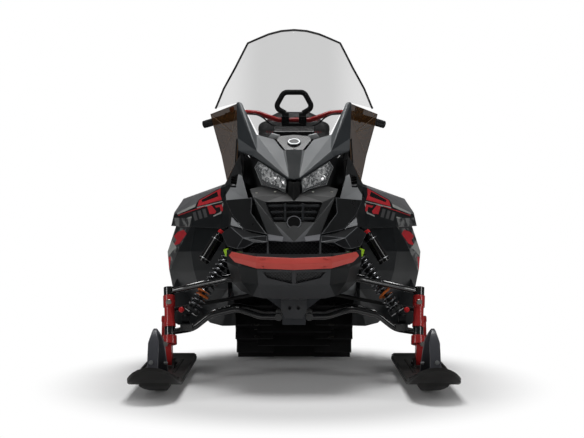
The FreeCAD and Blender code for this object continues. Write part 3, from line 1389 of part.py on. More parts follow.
def steering_post():
    """Column, and the riser block that clamps the bar."""
    top, down = steering_axis()
    column = rod(top + down * 40, top + down * COLUMN_LENGTH, COLUMN_RADIUS)
    profile = [(BAR_AFT - 26, BAR_HEIGHT - 70), (BAR_AFT + 8, BAR_HEIGHT - 76),
               (BAR_AFT + 24, BAR_HEIGHT - 20), (BAR_AFT + 24, BAR_HEIGHT + 16),
               (BAR_AFT - 24, BAR_HEIGHT + 16), (BAR_AFT - 24, BAR_HEIGHT - 20)]
    block = side_profile(profile, -RISER_HALF, RISER_HALF)
    clamp_gap = [box(-22, 22, BAR_AFT - 40, BAR_AFT + 40, BAR_HEIGHT - 14, BAR_HEIGHT + 40)]
    made = fuse([column, block])
    for piece in clamp_gap:
        made = made.cut(piece)
    bar = rod(at(-100, BAR_AFT, BAR_HEIGHT), at(100, BAR_AFT, BAR_HEIGHT), BAR_RADIUS + 0.3)
    return made.cut(bar)


def grab_strap():
    """The stiff rubber loop over the bar's middle that the rider pulls on."""
    z = BAR_HEIGHT + 16 + RUN_GAP
    u = BAR_AFT + 6
    feet = [box(x - 16, x + 16, u - 16, u + 14, z, z + 14) for x in (-38, 38)]
    path = [at(-40, u, z + 15), at(-84, u + 2, z + 40), at(-46, u + 10, STRAP_TOP),
            at(46, u + 10, STRAP_TOP), at(84, u + 2, z + 40), at(40, u, z + 15)]
    return fuse(feet + [tube(path, STRAP_RADIUS, 28)])


def control_frame(side, inset):
    """A place on the bar inboard of the grip, with the ways out, ahead and up from it."""
    end, axis = grip_line(side)
    ahead = V(0, -1, 0)
    ahead = (ahead - axis * ahead.dot(axis)).normalize()
    up = ahead.cross(axis) * side
    return end - axis * (GRIP_LENGTH + inset), axis, ahead, up.normalize()


def brake_set():
    """On the machine's left grip: the brake lever, its clamp and its fluid cup."""
    middle, axis, ahead, up = control_frame(1, 30)
    clamp = rod(middle - axis * 17, middle + axis * 17, BAR_RADIUS + 9)
    bore = rod(middle - axis * 30, middle + axis * 30, BAR_RADIUS + 0.3)
    neck = rod(middle + ahead * 16, middle + ahead * 40, 11)
    cup = rod(middle + ahead * 34 - up * 4, middle + ahead * 34 + up * 40, 20)
    base = middle + ahead * 40
    lever = tube([base - up * 2, base + axis * 40 + ahead * 16 - up * 3,
                  base + axis * 92 + ahead * 6 - up * 8, base + axis * 128 + ahead * 10 - up * 8],
                 5.5, 40)
    return fuse([clamp, neck, cup, lever]).cut(bore)


def throttle_set():
    """On the right grip: the thumb throttle's block, the lever and the red stop button."""
    middle, axis, ahead, up = control_frame(-1, 30)
    clamp = rod(middle - axis * 19, middle + axis * 19, BAR_RADIUS + 12)
    bore = rod(middle - axis * 30, middle + axis * 30, BAR_RADIUS + 0.3)
    button = rod(middle + up * 14, middle + up * 40, 11)
    base = middle - ahead * 18 - up * 8
    thumb = tube([base, base + axis * 24 - ahead * 20 - up * 6, base + axis * 78 - ahead * 22 - up * 4],
                 5, 16)
    return fuse([clamp, button, thumb]).cut(bore)


def column_bearing():
    """The hoop over the tunnel that holds the lower end of the column."""
    top, down = steering_axis()
    foot = top + down * (COLUMN_LENGTH - 30)
    ring = rod(foot - down * 16, foot + down * 16, COLUMN_RADIUS + 16)
    ring = ring.cut(rod(foot - down * 40, foot + down * 40, COLUMN_RADIUS + STEER_CLEARANCE))
    legs = []
    for side in (-1, 1):
        legs.append(tube([foot + V(side * (COLUMN_RADIUS + 8), 0, 0), foot + V(side * 120, 0, -40),
                          V(side * 150, foot.y, TUNNEL_TOP + 70),
                          V(side * 150, foot.y, TUNNEL_TOP + RUN_GAP)], 12, 40))
    return fuse([ring] + legs)


def steering_link():
    """The cross link: a rod that slides in two guides between the bulkheads, out to an open eye
    under each spindle's arm."""
    low, axis = kingpin()
    arm_tip = low + axis * STEER_ARM_RISE + V(0, axis.z, -axis.y) * STEER_ARM_LENGTH
    eye_top = arm_tip - axis * (STEER_ARM_THICKNESS / 2 + LINK_DROP)
    eye = rod(eye_top - axis * LINK_EYE_HEIGHT, eye_top, LINK_RADIUS + 4)
    outer = eye_top - axis * (LINK_EYE_HEIGHT / 2)
    half = fuse([eye, tube([outer, at(118, LINK_AFT, LINK_HEIGHT), at(0, LINK_AFT, LINK_HEIGHT)],
                           LINK_RADIUS, 40)])
    return fuse([half, mirrored(half)])


def control_cable():
    """Brake hose or throttle cable, from the control in to the riser."""
    middle, axis, ahead, up = control_frame(1, 30)
    start = middle - axis * (19 + RUN_GAP) + ahead * 16
    return tube([start, start - axis * 30 + ahead * 4, at(150, BAR_AFT - 30, BAR_HEIGHT + 24),
                 at(100, BAR_AFT - 18, BAR_HEIGHT - 30),
                 at(RISER_HALF + RUN_GAP, BAR_AFT - 18, BAR_HEIGHT - 30)], CABLE_RADIUS, 60)


def both(make, *rest):
    """The same piece on both sides of the machine, as two solids of one node."""
    one = make(*rest)
    return [one, mirrored(one)]


def main():
    os.makedirs("parts", exist_ok=True)
    print("track loop", round(loop_length(BELT_THICKNESS / 2)), "mm")
    for node, make in (("ski", ski), ("ski_loop", ski_loop), ("spindle", spindle)):
        left = make()
        save(node + "_left", left)
        save(node + "_right", mirrored(left))
    for node, make in (("lower_arms", lower_arm), ("upper_arms", upper_arm), ("shocks", shock),
                       ("shock_springs", spring), ("shock_reservoirs", reservoir),
                       ("headlights", headlight), ("front_panels", front_panel), ("fins", fin),
                       ("cheeks", cheek), ("corner_facets", corner_facet),
                       ("corner_markers", corner_marker),
                       ("side_panels", side_panel), ("foot_wings", foot_wing),
                       ("deflectors", deflector), ("running_boards", running_board),
                       ("grips", grip), ("control_cables", control_cable)):
        save(node, both(make))
    for make in (front_frame, bay_frame, engine, track, drive_axle, slide_rails, idler_wheels,
                 skid_suspension, tunnel, hood, badge_plate, lamp_pocket, nose, grille, intake,
                 bumper, belly_pan, console, gauge, tank, driver_seat, rear_seat, backrest,
                 backrest_frame, rack, rear_bumper, tail_light, snow_flap, windshield,
                 windshield_trim, handlebar, steering_post, grab_strap, brake_set, throttle_set,
                 column_bearing, steering_link):
        save(make.__name__, make())


main()
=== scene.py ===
import json
import math
import random

import bmesh
import bpy
from mathutils import Matrix, Vector
from mathutils.bvhtree import BVHTree

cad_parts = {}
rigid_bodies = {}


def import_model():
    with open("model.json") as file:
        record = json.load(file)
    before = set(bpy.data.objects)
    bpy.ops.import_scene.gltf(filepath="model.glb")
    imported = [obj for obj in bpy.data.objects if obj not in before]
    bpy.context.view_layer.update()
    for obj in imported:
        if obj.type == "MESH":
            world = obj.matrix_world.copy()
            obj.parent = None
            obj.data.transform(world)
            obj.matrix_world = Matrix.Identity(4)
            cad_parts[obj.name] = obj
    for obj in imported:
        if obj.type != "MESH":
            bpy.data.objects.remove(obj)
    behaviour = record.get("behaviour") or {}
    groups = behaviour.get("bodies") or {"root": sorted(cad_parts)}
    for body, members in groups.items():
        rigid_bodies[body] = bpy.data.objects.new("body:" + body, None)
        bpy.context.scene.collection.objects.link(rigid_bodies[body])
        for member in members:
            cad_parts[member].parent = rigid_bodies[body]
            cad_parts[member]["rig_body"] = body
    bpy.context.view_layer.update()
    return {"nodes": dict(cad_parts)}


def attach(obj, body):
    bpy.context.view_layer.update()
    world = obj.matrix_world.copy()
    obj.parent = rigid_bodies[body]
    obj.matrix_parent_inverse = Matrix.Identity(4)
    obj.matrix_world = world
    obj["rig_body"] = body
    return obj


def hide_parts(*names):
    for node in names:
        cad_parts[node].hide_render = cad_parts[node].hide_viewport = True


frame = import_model()
scene = bpy.context.scene


# Camera: it stands five metres ahead of the ski tips, a little above the bumper, and looks
# straight at the machine's face, as the photographer did.
FOCAL_PIXELS = 1425.0
FRAME_PIXELS = (584.0, 438.0)
HORIZON_PIXEL = 195.0
CENTRE_PIXEL = 294.0
EYE_AHEAD, EYE_HEIGHT = 5000.0, 738.0
SENSOR_WIDTH = 36.0
HALF_LENGTH = 1.625


def spot(x, aft, z):
    """A place from millimetres: across, aft of the ski tips, and above the floor."""
    return Vector((x / 1000, aft / 1000 - HALF_LENGTH, z / 1000))


lens = bpy.data.cameras.new("photo_camera")
lens.sensor_width = SENSOR_WIDTH
lens.lens = SENSOR_WIDTH * FOCAL_PIXELS / FRAME_PIXELS[0]
camera = bpy.data.objects.new("photo_camera", lens)
scene.collection.objects.link(camera)
camera.location = spot(0, -EYE_AHEAD, EYE_HEIGHT)
aim = Vector((FRAME_PIXELS[0] / 2 - CENTRE_PIXEL, FOCAL_PIXELS,
              HORIZON_PIXEL - FRAME_PIXELS[1] / 2))
camera.rotation_euler = aim.to_track_quat("-Z", "Y").to_euler()
scene.camera = camera
scene.view_settings.view_transform = "Standard"


# Studio: a white cyclorama with one wide softbox overhead and a strip at either side. The
# sweep is pale paper that keeps the soft shadow under the machine and fades to plain white.
def tone(code):
    """The linear colour that an sRGB hex value names."""
    parts = [int(code[i:i + 2], 16) / 255 for i in (1, 3, 5)]
    return [c / 12.92 if c <= 0.04045 else ((c + 0.055) / 1.055) ** 2.4 for c in parts] + [1.0]


def add(tree, kind, inputs=(), stops=(), **settings):
    """Adds a shader node with its settings, and a ramp's stops. Each input takes a value, a
    socket, or a node for that node's first output."""
    made = tree.nodes.new("ShaderNode" + kind)
    for name, value in settings.items():
        setattr(made, name, value)
    for k, (place, colour) in enumerate(stops):
        ramp = made.color_ramp.elements
        stop = ramp[k] if k < 2 else ramp.new(place)
        stop.position, stop.color = place, colour
    for name, value in dict(inputs).items():
        if isinstance(value, bpy.types.Node):
            value = value.outputs[0]
        if isinstance(value, bpy.types.NodeSocket):
            tree.links.new(value, made.inputs[name])
        else:
            made.inputs[name].default_value = value
    return made


def seen_straight(tree):
    """One where the camera sees a surface by itself or through a clear piece, else nought."""
    ways = add(tree, "LightPath")
    return add(tree, "Math", {0: ways.outputs["Is Camera Ray"],
                              1: ways.outputs["Is Transmission Ray"]}, operation="MAXIMUM")


def blank(name):
    """A new material, its empty node tree, and a place on the piece for its patterns."""
    made = bpy.data.materials.new(name)
    made.use_nodes = True
    made.node_tree.nodes.clear()
    return made, made.node_tree, add(made.node_tree, "TexCoord").outputs["Object"]


def softbox(name, place, size, power, target):
    """A rectangular light that faces a target."""
    light = bpy.data.lights.new(name, "AREA")
    light.shape = "RECTANGLE"
    light.size, light.size_y = size
    light.energy = power
    lamp = bpy.data.objects.new(name, light)
    scene.collection.objects.link(lamp)
    lamp.location = place
    lamp.rotation_euler = (target - place).to_track_quat("-Z", "Y").to_euler()


WHITE = (1, 1, 1, 1)
DOME_STRENGTH = 0.12
FLOOR_REACH = 30
softbox("overhead_softbox", Vector((0, -0.1, 3.5)), (1.5, 1.5), 88, Vector((0, -0.6, 0.2)))
softbox("left_strip", Vector((3.4, -3.2, 1.7)), (0.8, 2.4), 36, Vector((0.2, -1.0, 0.6)))
softbox("right_strip", Vector((-3.4, -3.2, 1.7)), (0.8, 2.4), 36, Vector((-0.2, -1.0, 0.6)))

world = bpy.data.worlds.new("studio")
scene.world = world
world.use_nodes = True
tree = world.node_tree
tree.nodes.clear()
sky = add(tree, "TexCoord")
height = add(tree, "SeparateXYZ", {"Vector": sky.outputs["Generated"]})
dome = add(tree, "ValToRGB", {"Fac": height.outputs["Z"]},
           stops=[(0.0, tone("#8c8c8c")), (0.75, tone("#f2f2f2"))])
paper = add(tree, "Background", {"Color": WHITE, "Strength": 1.0})
glow = add(tree, "Background", {"Color": dome, "Strength": DOME_STRENGTH})
mixed = add(tree, "MixShader", {0: seen_straight(tree), 1: glow, 2: paper})
add(tree, "OutputWorld", {"Surface": mixed})

floor_mesh = bpy.data.meshes.new("studio_floor")
sculpt = bmesh.new()
bmesh.ops.create_grid(sculpt, x_segments=1, y_segments=1, size=FLOOR_REACH)
sculpt.to_mesh(floor_mesh)
sculpt.free()
floor = bpy.data.objects.new("studio_floor", floor_mesh)
scene.collection.objects.link(floor)
# White paper sweep: matt and slightly grey where the shadow lies, then plain white.
sweep, tree, where = blank("white_paper_sweep")
oval = add(tree, "Mapping", {"Vector": where, "Location": (0, 0.95, 0), "Scale": (1.3, 1, 1)})
reach = add(tree, "VectorMath", {0: oval}, operation="LENGTH")
fade = add(tree, "MapRange", {"Value": reach.outputs["Value"], "From Min": 0.85,
                              "From Max": 1.35}, interpolation_type="SMOOTHSTEP")
far = add(tree, "Math", {0: fade, 1: seen_straight(tree)}, operation="MULTIPLY")
pale = add(tree, "BsdfDiffuse", {"Color": tone("#efefef")})
lift = add(tree, "Emission", {"Color": WHITE, "Strength": 0.02})
both = add(tree, "AddShader", {0: pale, 1: lift})
white = add(tree, "Emission", {"Color": WHITE, "Strength": 1.0})
blend = add(tree, "MixShader", {0: far, 1: both, 2: white})
add(tree, "OutputMaterial", {"Surface": blend})
floor_mesh.materials.append(sweep)


# Hood: one moulded shell in satin paint, with its light and shade painted by place and slope.
# The spine from the tip up to the badge is painted near black as shade, the cheeks at its sides
# keep the paint's own grey, and the horns that rise from them along the windshield are painted
# darker as shade.
def finish(name, colour, roughness, grain=1.5, relief=0.1, drift=0.06, metallic=0.0, coat=0.0,
           stretch=(1, 1, 1), shine=0.22):
    """A surface with a fine grain and a slow drift in tone and gloss. The grain's width and
    depth are in millimetres."""
    made, tree, where = blank(name)
    drawn = add(tree, "Mapping", {"Vector": where, "Scale": stretch})
    fine = add(tree, "TexNoise", {"Vector": drawn, "Scale": 1000 / grain, "Detail": 3.0,
                                  "Roughness": 0.6})
    slow = add(tree, "TexNoise", {"Vector": where, "Scale": 9.0, "Detail": 4.0, "Roughness": 0.55})
    base = tone(colour)[:3]
    shades = add(tree, "ValToRGB", {"Fac": slow},
                 stops=[(0.3, [c * (1 - drift) for c in base] + [1]),
                        (0.7, [min(1, c * (1 + drift)) for c in base] + [1])])
    gloss = add(tree, "MapRange", {"Value": slow, "From Min": 0.3, "From Max": 0.7,
                                   "To Min": roughness * 0.88,
                                   "To Max": min(1, roughness * 1.12)})
    bump = add(tree, "Bump", {"Height": fine, "Strength": 0.5, "Distance": relief / 1000})
    skin = add(tree, "BsdfPrincipled",
               {"Base Color": shades, "Roughness": gloss, "Metallic": metallic, "Normal": bump,
                "Coat Weight": coat, "Coat Roughness": 0.1,
                "Specular IOR Level": 0.5 if metallic else shine})
    add(tree, "OutputMaterial", {"Surface": skin})
    return made


def show(name, sculpt, finishes, body="chassis", smooth=32, clean=True):
    """Makes a piece of a bmesh, at the origin, with shallow edges shaded smooth."""
    if clean:
        bmesh.ops.recalc_face_normals(sculpt, faces=sculpt.faces)
    mesh = bpy.data.meshes.new(name)
    sculpt.to_mesh(mesh)
    sculpt.free()
    for each in finishes if isinstance(finishes, list) else [finishes]:
        mesh.materials.append(each)
    mesh.shade_smooth()
    mesh.set_sharp_from_angle(angle=math.radians(smooth))
    piece = bpy.data.objects.new(name, mesh)
    scene.collection.objects.link(piece)
    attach(piece, body)
    return piece


def inked(sculpt, ink):
    """Gives every face one finish."""
    for face in sculpt.faces:
        face.material_index = ink
    return sculpt


def copy_of(node):
    """A CAD node's mesh with its corners merged and its flat faces whole."""
    sculpt = bmesh.new()
    sculpt.from_mesh(frame["nodes"][node].data)
    bmesh.ops.remove_doubles(sculpt, verts=sculpt.verts, dist=0.00004)
    bmesh.ops.dissolve_limit(inked(sculpt, 0), angle_limit=math.radians(0.6),
                             verts=sculpt.verts, edges=sculpt.edges)
    return sculpt


def eased(sculpt, width, sharp=28, ink=-1):
    """Rounds the edges that are sharper than the given angle. The width is in millimetres."""
    sharp = math.radians(sharp)
    edges = [e for e in sculpt.edges if e.is_manifold and e.calc_face_angle() > sharp]
    bmesh.ops.bevel(sculpt, geom=edges, offset=width / 1000, segments=2, profile=0.5,
                    affect="EDGES", material=ink, clamp_overlap=False)
    return sculpt


def refine(node, finishes, edge=0.8, sharp=28, smooth=38, paint=None, sculpt=None, ink=-1):
    """Shows a CAD node with eased edges. The paint picks a finish for each face."""
    sculpt = sculpt or copy_of(node)
    if paint:
        for face in sculpt.faces:
            face.material_index = paint(face)
    if edge:
        eased(sculpt, edge, sharp, ink=ink)
    piece = show(node + "_finished", sculpt, finishes,
                 frame["nodes"][node]["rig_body"], smooth, clean=False)
    crisp = piece.modifiers.new("flat_faces", "WEIGHTED_NORMAL")
    crisp.keep_sharp = True
    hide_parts(node)
    return piece


def hood_shade(face):
    """Picks the painted shade by place and slope: spine, plain cheek, horn's inner slope, outer
    wing.
    """
    middle = face.calc_center_median()
    outward = face.normal.x * (1 if middle.x > 0 else -1)
    if abs(middle.x) < 0.03 and face.normal.z > 0.5:
        return 3
    if face.normal.z < 0.02 or outward > 0.05:
        return 1
    return 0 if outward > -0.5 else 2


# Satin paint: broad soft highlights and no grain to speak of. The graphite is the paint's own
# colour. The charcoal, slate and near black are shaded copies of it, painted shade on faces that
# turn away from the light, and the charcoal is also the tank's own colour. The spine's is matt,
# so that it stays dark under the overhead light.
graphite = finish("graphite_satin_paint", "#585b5d", 0.5, 0.8, 0.03, drift=0.03)
charcoal_and_painted_shade = finish("charcoal_satin_paint_and_painted_shade", "#23272a", 0.55, 0.8, 0.03, drift=0.04)
slate_painted_shade = finish("slate_satin_painted_shade", "#505355", 0.5, 0.8, 0.03, drift=0.03)
spine_painted_shade = finish("matt_spine_painted_shade", "#1a1d1f", 0.6, 0.8, 0.03, shine=0.05)
refine("hood", [graphite, charcoal_and_painted_shade, slate_painted_shade, spine_painted_shade], edge=2.2, sharp=8, paint=hood_shade)


# Badge plate: a black moulding at the windshield's foot with a fine crossed relief. Its boss
# holds a bare disc in a bright ring, and a grey tab clamps the windshield at either side.
def netting(name, dark, light, pitch, wire):
    """Crossed wires a given pitch apart, in millimetres, over a dark ground."""
    made, tree, where = blank(name)
    tilted = add(tree, "Mapping", {"Vector": where, "Rotation": (0, math.radians(45), 0)})
    split = add(tree, "SeparateXYZ", {"Vector": tilted})
    across = add(tree, "Math", {0: split, 1: pitch / 2000}, operation="PINGPONG")
    along = add(tree, "Math", {0: split.outputs["Z"], 1: pitch / 2000}, operation="PINGPONG")
    near = add(tree, "Math", {0: across, 1: along}, operation="MINIMUM")
    on_wire = add(tree, "MapRange", {"Value": near, "From Min": wire / 2000,
                                     "From Max": wire / 1000, "To Min": 1.0, "To Max": 0.0})
    mix = add(tree, "Mix", {"Factor": on_wire, "A": tone(dark), "B": tone(light)},
              data_type="RGBA")
    bump = add(tree, "Bump", {"Height": on_wire, "Strength": 1.0, "Distance": wire / 1500})
    skin = add(tree, "BsdfPrincipled", {"Base Color": mix.outputs["Result"], "Roughness": 0.4,
                                        "Normal": bump})
    add(tree, "OutputMaterial", {"Surface": skin})
    return made


def pour(part, sculpt):
    """Moves one bmesh into another."""
    scrap = bpy.data.meshes.new("scrap")
    part.to_mesh(scrap)
    part.free()
    sculpt.from_mesh(scrap)
    bpy.data.meshes.remove(scrap)


def turned(sculpt, profile, place, axis, steps=32, ink=0):
    """Spins a profile of (radius, height) points, in millimetres, about an axis at a place."""
    part = bmesh.new()
    rim = [part.verts.new((r / 1000, 0, h / 1000)) for r, h in profile]
    edges = [part.edges.new(pair) for pair in zip(rim, rim[1:])]
    bmesh.ops.spin(part, geom=rim + edges, cent=(0, 0, 0), axis=(0, 0, 1), dvec=(0, 0, 0),
                   angle=2 * math.pi, steps=steps, use_merge=True)
    bmesh.ops.remove_doubles(part, verts=part.verts, dist=0.00001)
    bmesh.ops.recalc_face_normals(part, faces=part.faces)
    pose = Matrix.Translation(place) @ Vector(axis).to_track_quat("Z", "Y").to_matrix().to_4x4()
    bmesh.ops.transform(part, matrix=pose, verts=part.verts)
    pour(inked(part, ink), sculpt)


def slab(sculpt, corners, push, ink=0):
    """A flat plate from its corners, thickened by a push."""
    face = sculpt.faces.new([sculpt.verts.new(c) for c in corners])
    face.material_index = ink
    made = bmesh.ops.extrude_face_region(sculpt, geom=[face], use_keep_orig=True)
    fresh = [v for v in made["geom"] if isinstance(v, bmesh.types.BMVert)]
    bmesh.ops.translate(sculpt, verts=fresh, vec=push)


# Grained ABS spreads its highlights over a leather-like grain, powder coat is smooth and gives
# sharp ones, and chromed trim is a bright line. The crossed ribs are coarser than real.
black_abs = finish("black_grained_abs", "#17181a", 0.42, 1.3, 0.12)
gloss_black = finish("black_powder_coat", "#0b0b0c", 0.24, 1.6, 0.04, coat=0.5)
bright_trim = finish("chromed_trim", "#a3a5a6", 0.3, 0.8, 0.02, metallic=1.0)
crossed = netting("ribbed_black_abs", "#0a0b0c", "#1b1d1f", 8.0, 1.2)
refine("badge_plate", [crossed, gloss_black], edge=1.5,
       paint=lambda face: 1 if face.calc_area() < 0.0004 else 0)
sculpt = bmesh.new()
boss_axis = Vector((0, -0.49, 0.87)).normalized()
BOSS_LIFT = 0.0052
boss = spot(0, 822, 951) + boss_axis * BOSS_LIFT
turned(sculpt, [(0, 1.2), (20, 1.2), (21, 2.4), (24, 2.4), (25, 0)], boss, boss_axis, ink=1)
for face in sculpt.faces:
    if (face.calc_center_median() - boss).length < 0.019:
        face.material_index = 0
show("badge_disc", sculpt, [black_abs, bright_trim])

sculpt = bmesh.new()
for side in (-1, 1):
    corners = [spot(side * x, u, z) for x, u, z in
               ((106, 874, 974), (92, 882, 992), (58, 880, 984), (64, 872, 966))]
    slab(sculpt, corners, Vector((0, 0.004, 0.002)))
eased(sculpt, 1.0, 40)
# Zinc casting: a dull pale metal.
show("shield_tabs", sculpt, finish("grey_zinc_casting", "#858788", 0.4, metallic=0.4))


# Headlights: a black bowl holds a chrome reflector pressed into small facets. A clear lens
# closes it, in a bright bezel.
LAMP_OUTLINE = [(29, 577, 799), (141, 684, 874), (158, 692, 849), (134, 652, 779), (64, 602, 763),
                (29, 572, 746)]
LAMP_DEPTH, BOWL_WALL = 34.0, 3.0


def strand(name, points, radius, sides, closed=False, smooth=True, steps=6):
    """A round bead along points, as a curve. The radius is in millimetres."""
    curve = bpy.data.curves.new(name, "CURVE")
    curve.dimensions = "3D"
    curve.bevel_depth = radius / 1000
    curve.bevel_resolution = sides
    curve.use_fill_caps = not closed
    spline = curve.splines.new("NURBS" if smooth else "POLY")
    spline.points.add(len(points) - 1)
    for point, place in zip(spline.points, points):
        point.co = (*place, 1)
    spline.use_cyclic_u = closed
    if smooth:
        spline.order_u = 3
        spline.use_endpoint_u = True
        spline.resolution_u = steps
    made = bpy.data.objects.new(name, curve)
    scene.collection.objects.link(made)
    return made


def piping(points, radius, closed=False, smooth=True):
    """A thin round bead along points, as a bmesh. The radius is in millimetres."""
    holder = strand("bead", points, radius, 4, closed, smooth)
    curve = holder.data
    mesh = bpy.data.meshes.new_from_object(holder)
    bpy.data.objects.remove(holder)
    bpy.data.curves.remove(curve)
    sculpt = bmesh.new()
    sculpt.from_mesh(mesh)
    bpy.data.meshes.remove(mesh)
    bmesh.ops.remove_doubles(sculpt, verts=sculpt.verts, dist=0.00001)
    return sculpt


def joined(parts):
    """Several bmeshes as one."""
    whole = bmesh.new()
    for part in parts:
        pour(part, whole)
    return whole


# Chromed reflector: bright and dark patches are painted into its colour as reflections, in place
# of its facets mirroring the room. The cells are 10 mm wide, like the facets in the photo.
chrome_painted_reflections, tree, where = blank("chromed_reflector_painted_glints")
cells = add(tree, "TexVoronoi", {"Vector": where, "Scale": 105.0})
grey = add(tree, "SeparateColor", {"Color": cells.outputs["Color"]})
painted_glints = add(tree, "ValToRGB", {"Fac": grey}, stops=[(0.3, tone("#4a4c4d")), (0.7, WHITE)])
skin = add(tree, "BsdfPrincipled", {"Base Color": painted_glints, "Metallic": 0.4, "Roughness": 0.16})
add(tree, "OutputMaterial", {"Surface": skin})


def see_through(name, colour, cover, roughness, edge_cover=None, shine=0.25):
    """A clear sheet that hides the given share of what is behind it, in its middle and at its
    outer edges."""
    made, tree, where = blank(name)
    split = add(tree, "SeparateXYZ", {"Vector": where})
    out = add(tree, "Math", {0: split}, operation="ABSOLUTE")
    haze = add(tree, "TexNoise", {"Vector": where, "Scale": 6.0})
    wide = add(tree, "MapRange",
               {"Value": out, "From Min": 0.13, "From Max": 0.29, "To Min": cover,
                "To Max": cover if edge_cover is None else edge_cover},
               interpolation_type="SMOOTHSTEP")
    soft = add(tree, "MapRange", {"Value": haze, "To Min": roughness, "To Max": roughness + 0.05})
    skin = add(tree, "BsdfPrincipled",
               {"Base Color": tone(colour), "Roughness": soft, "Specular IOR Level": shine,
                "Alpha": wide})
    add(tree, "OutputMaterial", {"Surface": skin})
    return made


def cut(sculpt, place, way, clear=False):
    """Cuts a bmesh along a plane, and may clear what lies behind it."""
    bmesh.ops.bisect_plane(sculpt, geom=sculpt.verts[:] + sculpt.edges[:] + sculpt.faces[:],
                           plane_co=place, plane_no=way, clear_inner=clear)


# Clear polycarbonate lens: it only shows by its highlights.
lamp_glass = see_through("clear_lamp_lens", "#dfe3e6", 0.1, 0.05)
bowls, mirrors, lenses, bezels = [], [], [], []
seeded = random.Random(7)
for side in (-1, 1):
    ring = [spot(side * x, u, z) for x, u, z in LAMP_OUTLINE]
    centre = sum(ring, Vector()) / len(ring)
    out = (ring[1] - ring[0]).cross(ring[4] - ring[0]).normalized()
    if out.y > 0:
        out = -out
    flat = [p - out * (p - centre).dot(out) for p in ring]
    sculpt = bmesh.new()
    slab(sculpt, [p + (centre - p) * 0.02 for p in flat], out * -LAMP_DEPTH / 1000)
    bmesh.ops.recalc_face_normals(sculpt, faces=sculpt.faces)
    front = max(sculpt.faces, key=lambda face: face.normal.dot(out) * face.calc_area())
    bmesh.ops.inset_individual(sculpt, faces=[front], thickness=BOWL_WALL / 1000, depth=0,
                               use_even_offset=True)
    bmesh.ops.translate(sculpt, verts=front.verts[:], vec=-out * (LAMP_DEPTH - 4) / 1000)
    bowls.append(sculpt)
    sculpt = bmesh.new()
    slab(sculpt, [p + (centre - p) * 0.03 for p in flat], out * -0.0015)
    bmesh.ops.recalc_face_normals(sculpt, faces=sculpt.faces)
    lenses.append(sculpt)
    bezels.append(piping([p + (centre - p) * 0.02 for p in flat], 1.6, closed=True, smooth=False))
    sculpt = bmesh.new()
    bmesh.ops.create_grid(sculpt, x_segments=24, y_segments=24, size=0.1)
    tilt = out.to_track_quat("Z", "Y").to_matrix().to_4x4()
    bmesh.ops.transform(sculpt, matrix=Matrix.Translation(centre - out * 0.013) @ tilt,
                        verts=sculpt.verts)
    for vert in sculpt.verts:
        vert.co += out * seeded.uniform(-0.005, 0.005)
    for a, b in zip(flat, flat[1:] + flat[:1]):
        inner = (b - a).cross(out).normalized()
        if (centre - a).dot(inner) < 0:
            inner = -inner
        cut(sculpt, a + inner * 0.0045, inner, True)
    for face in sculpt.faces:
        if face.normal.dot(out) < 0:
            face.normal_flip()
    mirrors.append(sculpt)
piece = show("lamp_bowls", joined(bowls), black_abs, clean=False)
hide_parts("headlights")
show("lamp_reflectors", joined(mirrors), chrome_painted_reflections, smooth=1, clean=False)
show("lamp_lenses", joined(lenses), lamp_glass)
show("lamp_bezels", joined(bezels), bright_trim)
refine("lamp_pocket", black_abs, edge=1.0)


# Nose: the moulded frame of the face. The plate under the lamps is near black and held by small
# screws, the frame round the grille is dark grey, and the lip below it is paler.
def surface_of(mesh):
    """A search tree over a mesh."""
    return BVHTree.FromPolygons([v.co for v in mesh.vertices],
                                [face.vertices[:] for face in mesh.polygons])


def tree_of(node):
    """A search tree over a CAD node's surface."""
    return surface_of(frame["nodes"][node].data)


def hit(surface, start, way):
    """Where a ray from a place in millimetres meets a surface, and how that faces."""
    return surface.ray_cast(spot(*start), Vector(way))[:2]


def seen_at(surface, px, py):
    """Where the photograph's pixel falls on a surface, if it does, and the way that faces out."""
    way = Vector(((px - CENTRE_PIXEL) / FOCAL_PIXELS, 1, (HORIZON_PIXEL - py) / FOCAL_PIXELS))
    place, out, _, _ = surface.ray_cast(camera.location, way)
    return place, -out if out and out.dot(way) > 0 else out


def nose_shade(face):
    """Black above the grille, dark grey round it, and a paler lip with a dark middle below."""
    middle = face.calc_center_median()
    if middle.z < 0.6:
        return 2 if abs(middle.x) > 0.044 else 3
    return 0 if middle.z > 0.715 else 1


SCREW_HEAD = [(0, 1.0), (2.2, 1.0), (2.2, 1.8), (4.2, 1.8), (4.8, 0)]
# Satin ABS: fine-grained and half matt, in greys that set one moulding off from the next. Zinc
# plated steel glints.
lip_grey = finish("grey_satin_abs", "#75767a", 0.4, 0.8, 0.04)
shade_grey = finish("shaded_grey_abs", "#48494c", 0.42, 0.8, 0.04)
frame_grey = finish("dark_grey_abs", "#262728", 0.4, 0.9, 0.05)
plate_black = finish("black_satin_abs", "#111212", 0.55, 0.9, 0.05)
refine("nose", [plate_black, frame_grey, lip_grey, shade_grey], edge=1.6, sharp=6,
       paint=nose_shade)
zinc_steel = finish("zinc_plated_steel", "#a9a7a0", 0.3, 0.8, 0.05, metallic=1.0)
surface = tree_of("nose")
sculpt = bmesh.new()
for px, py in ((256.6, 193), (313, 192), (331.6, 192), (275, 192)):
    place, out = seen_at(surface, px, py)
    if place:
        turned(sculpt, SCREW_HEAD, place, out, steps=12)
show("nose_screws", sculpt, zinc_steel)
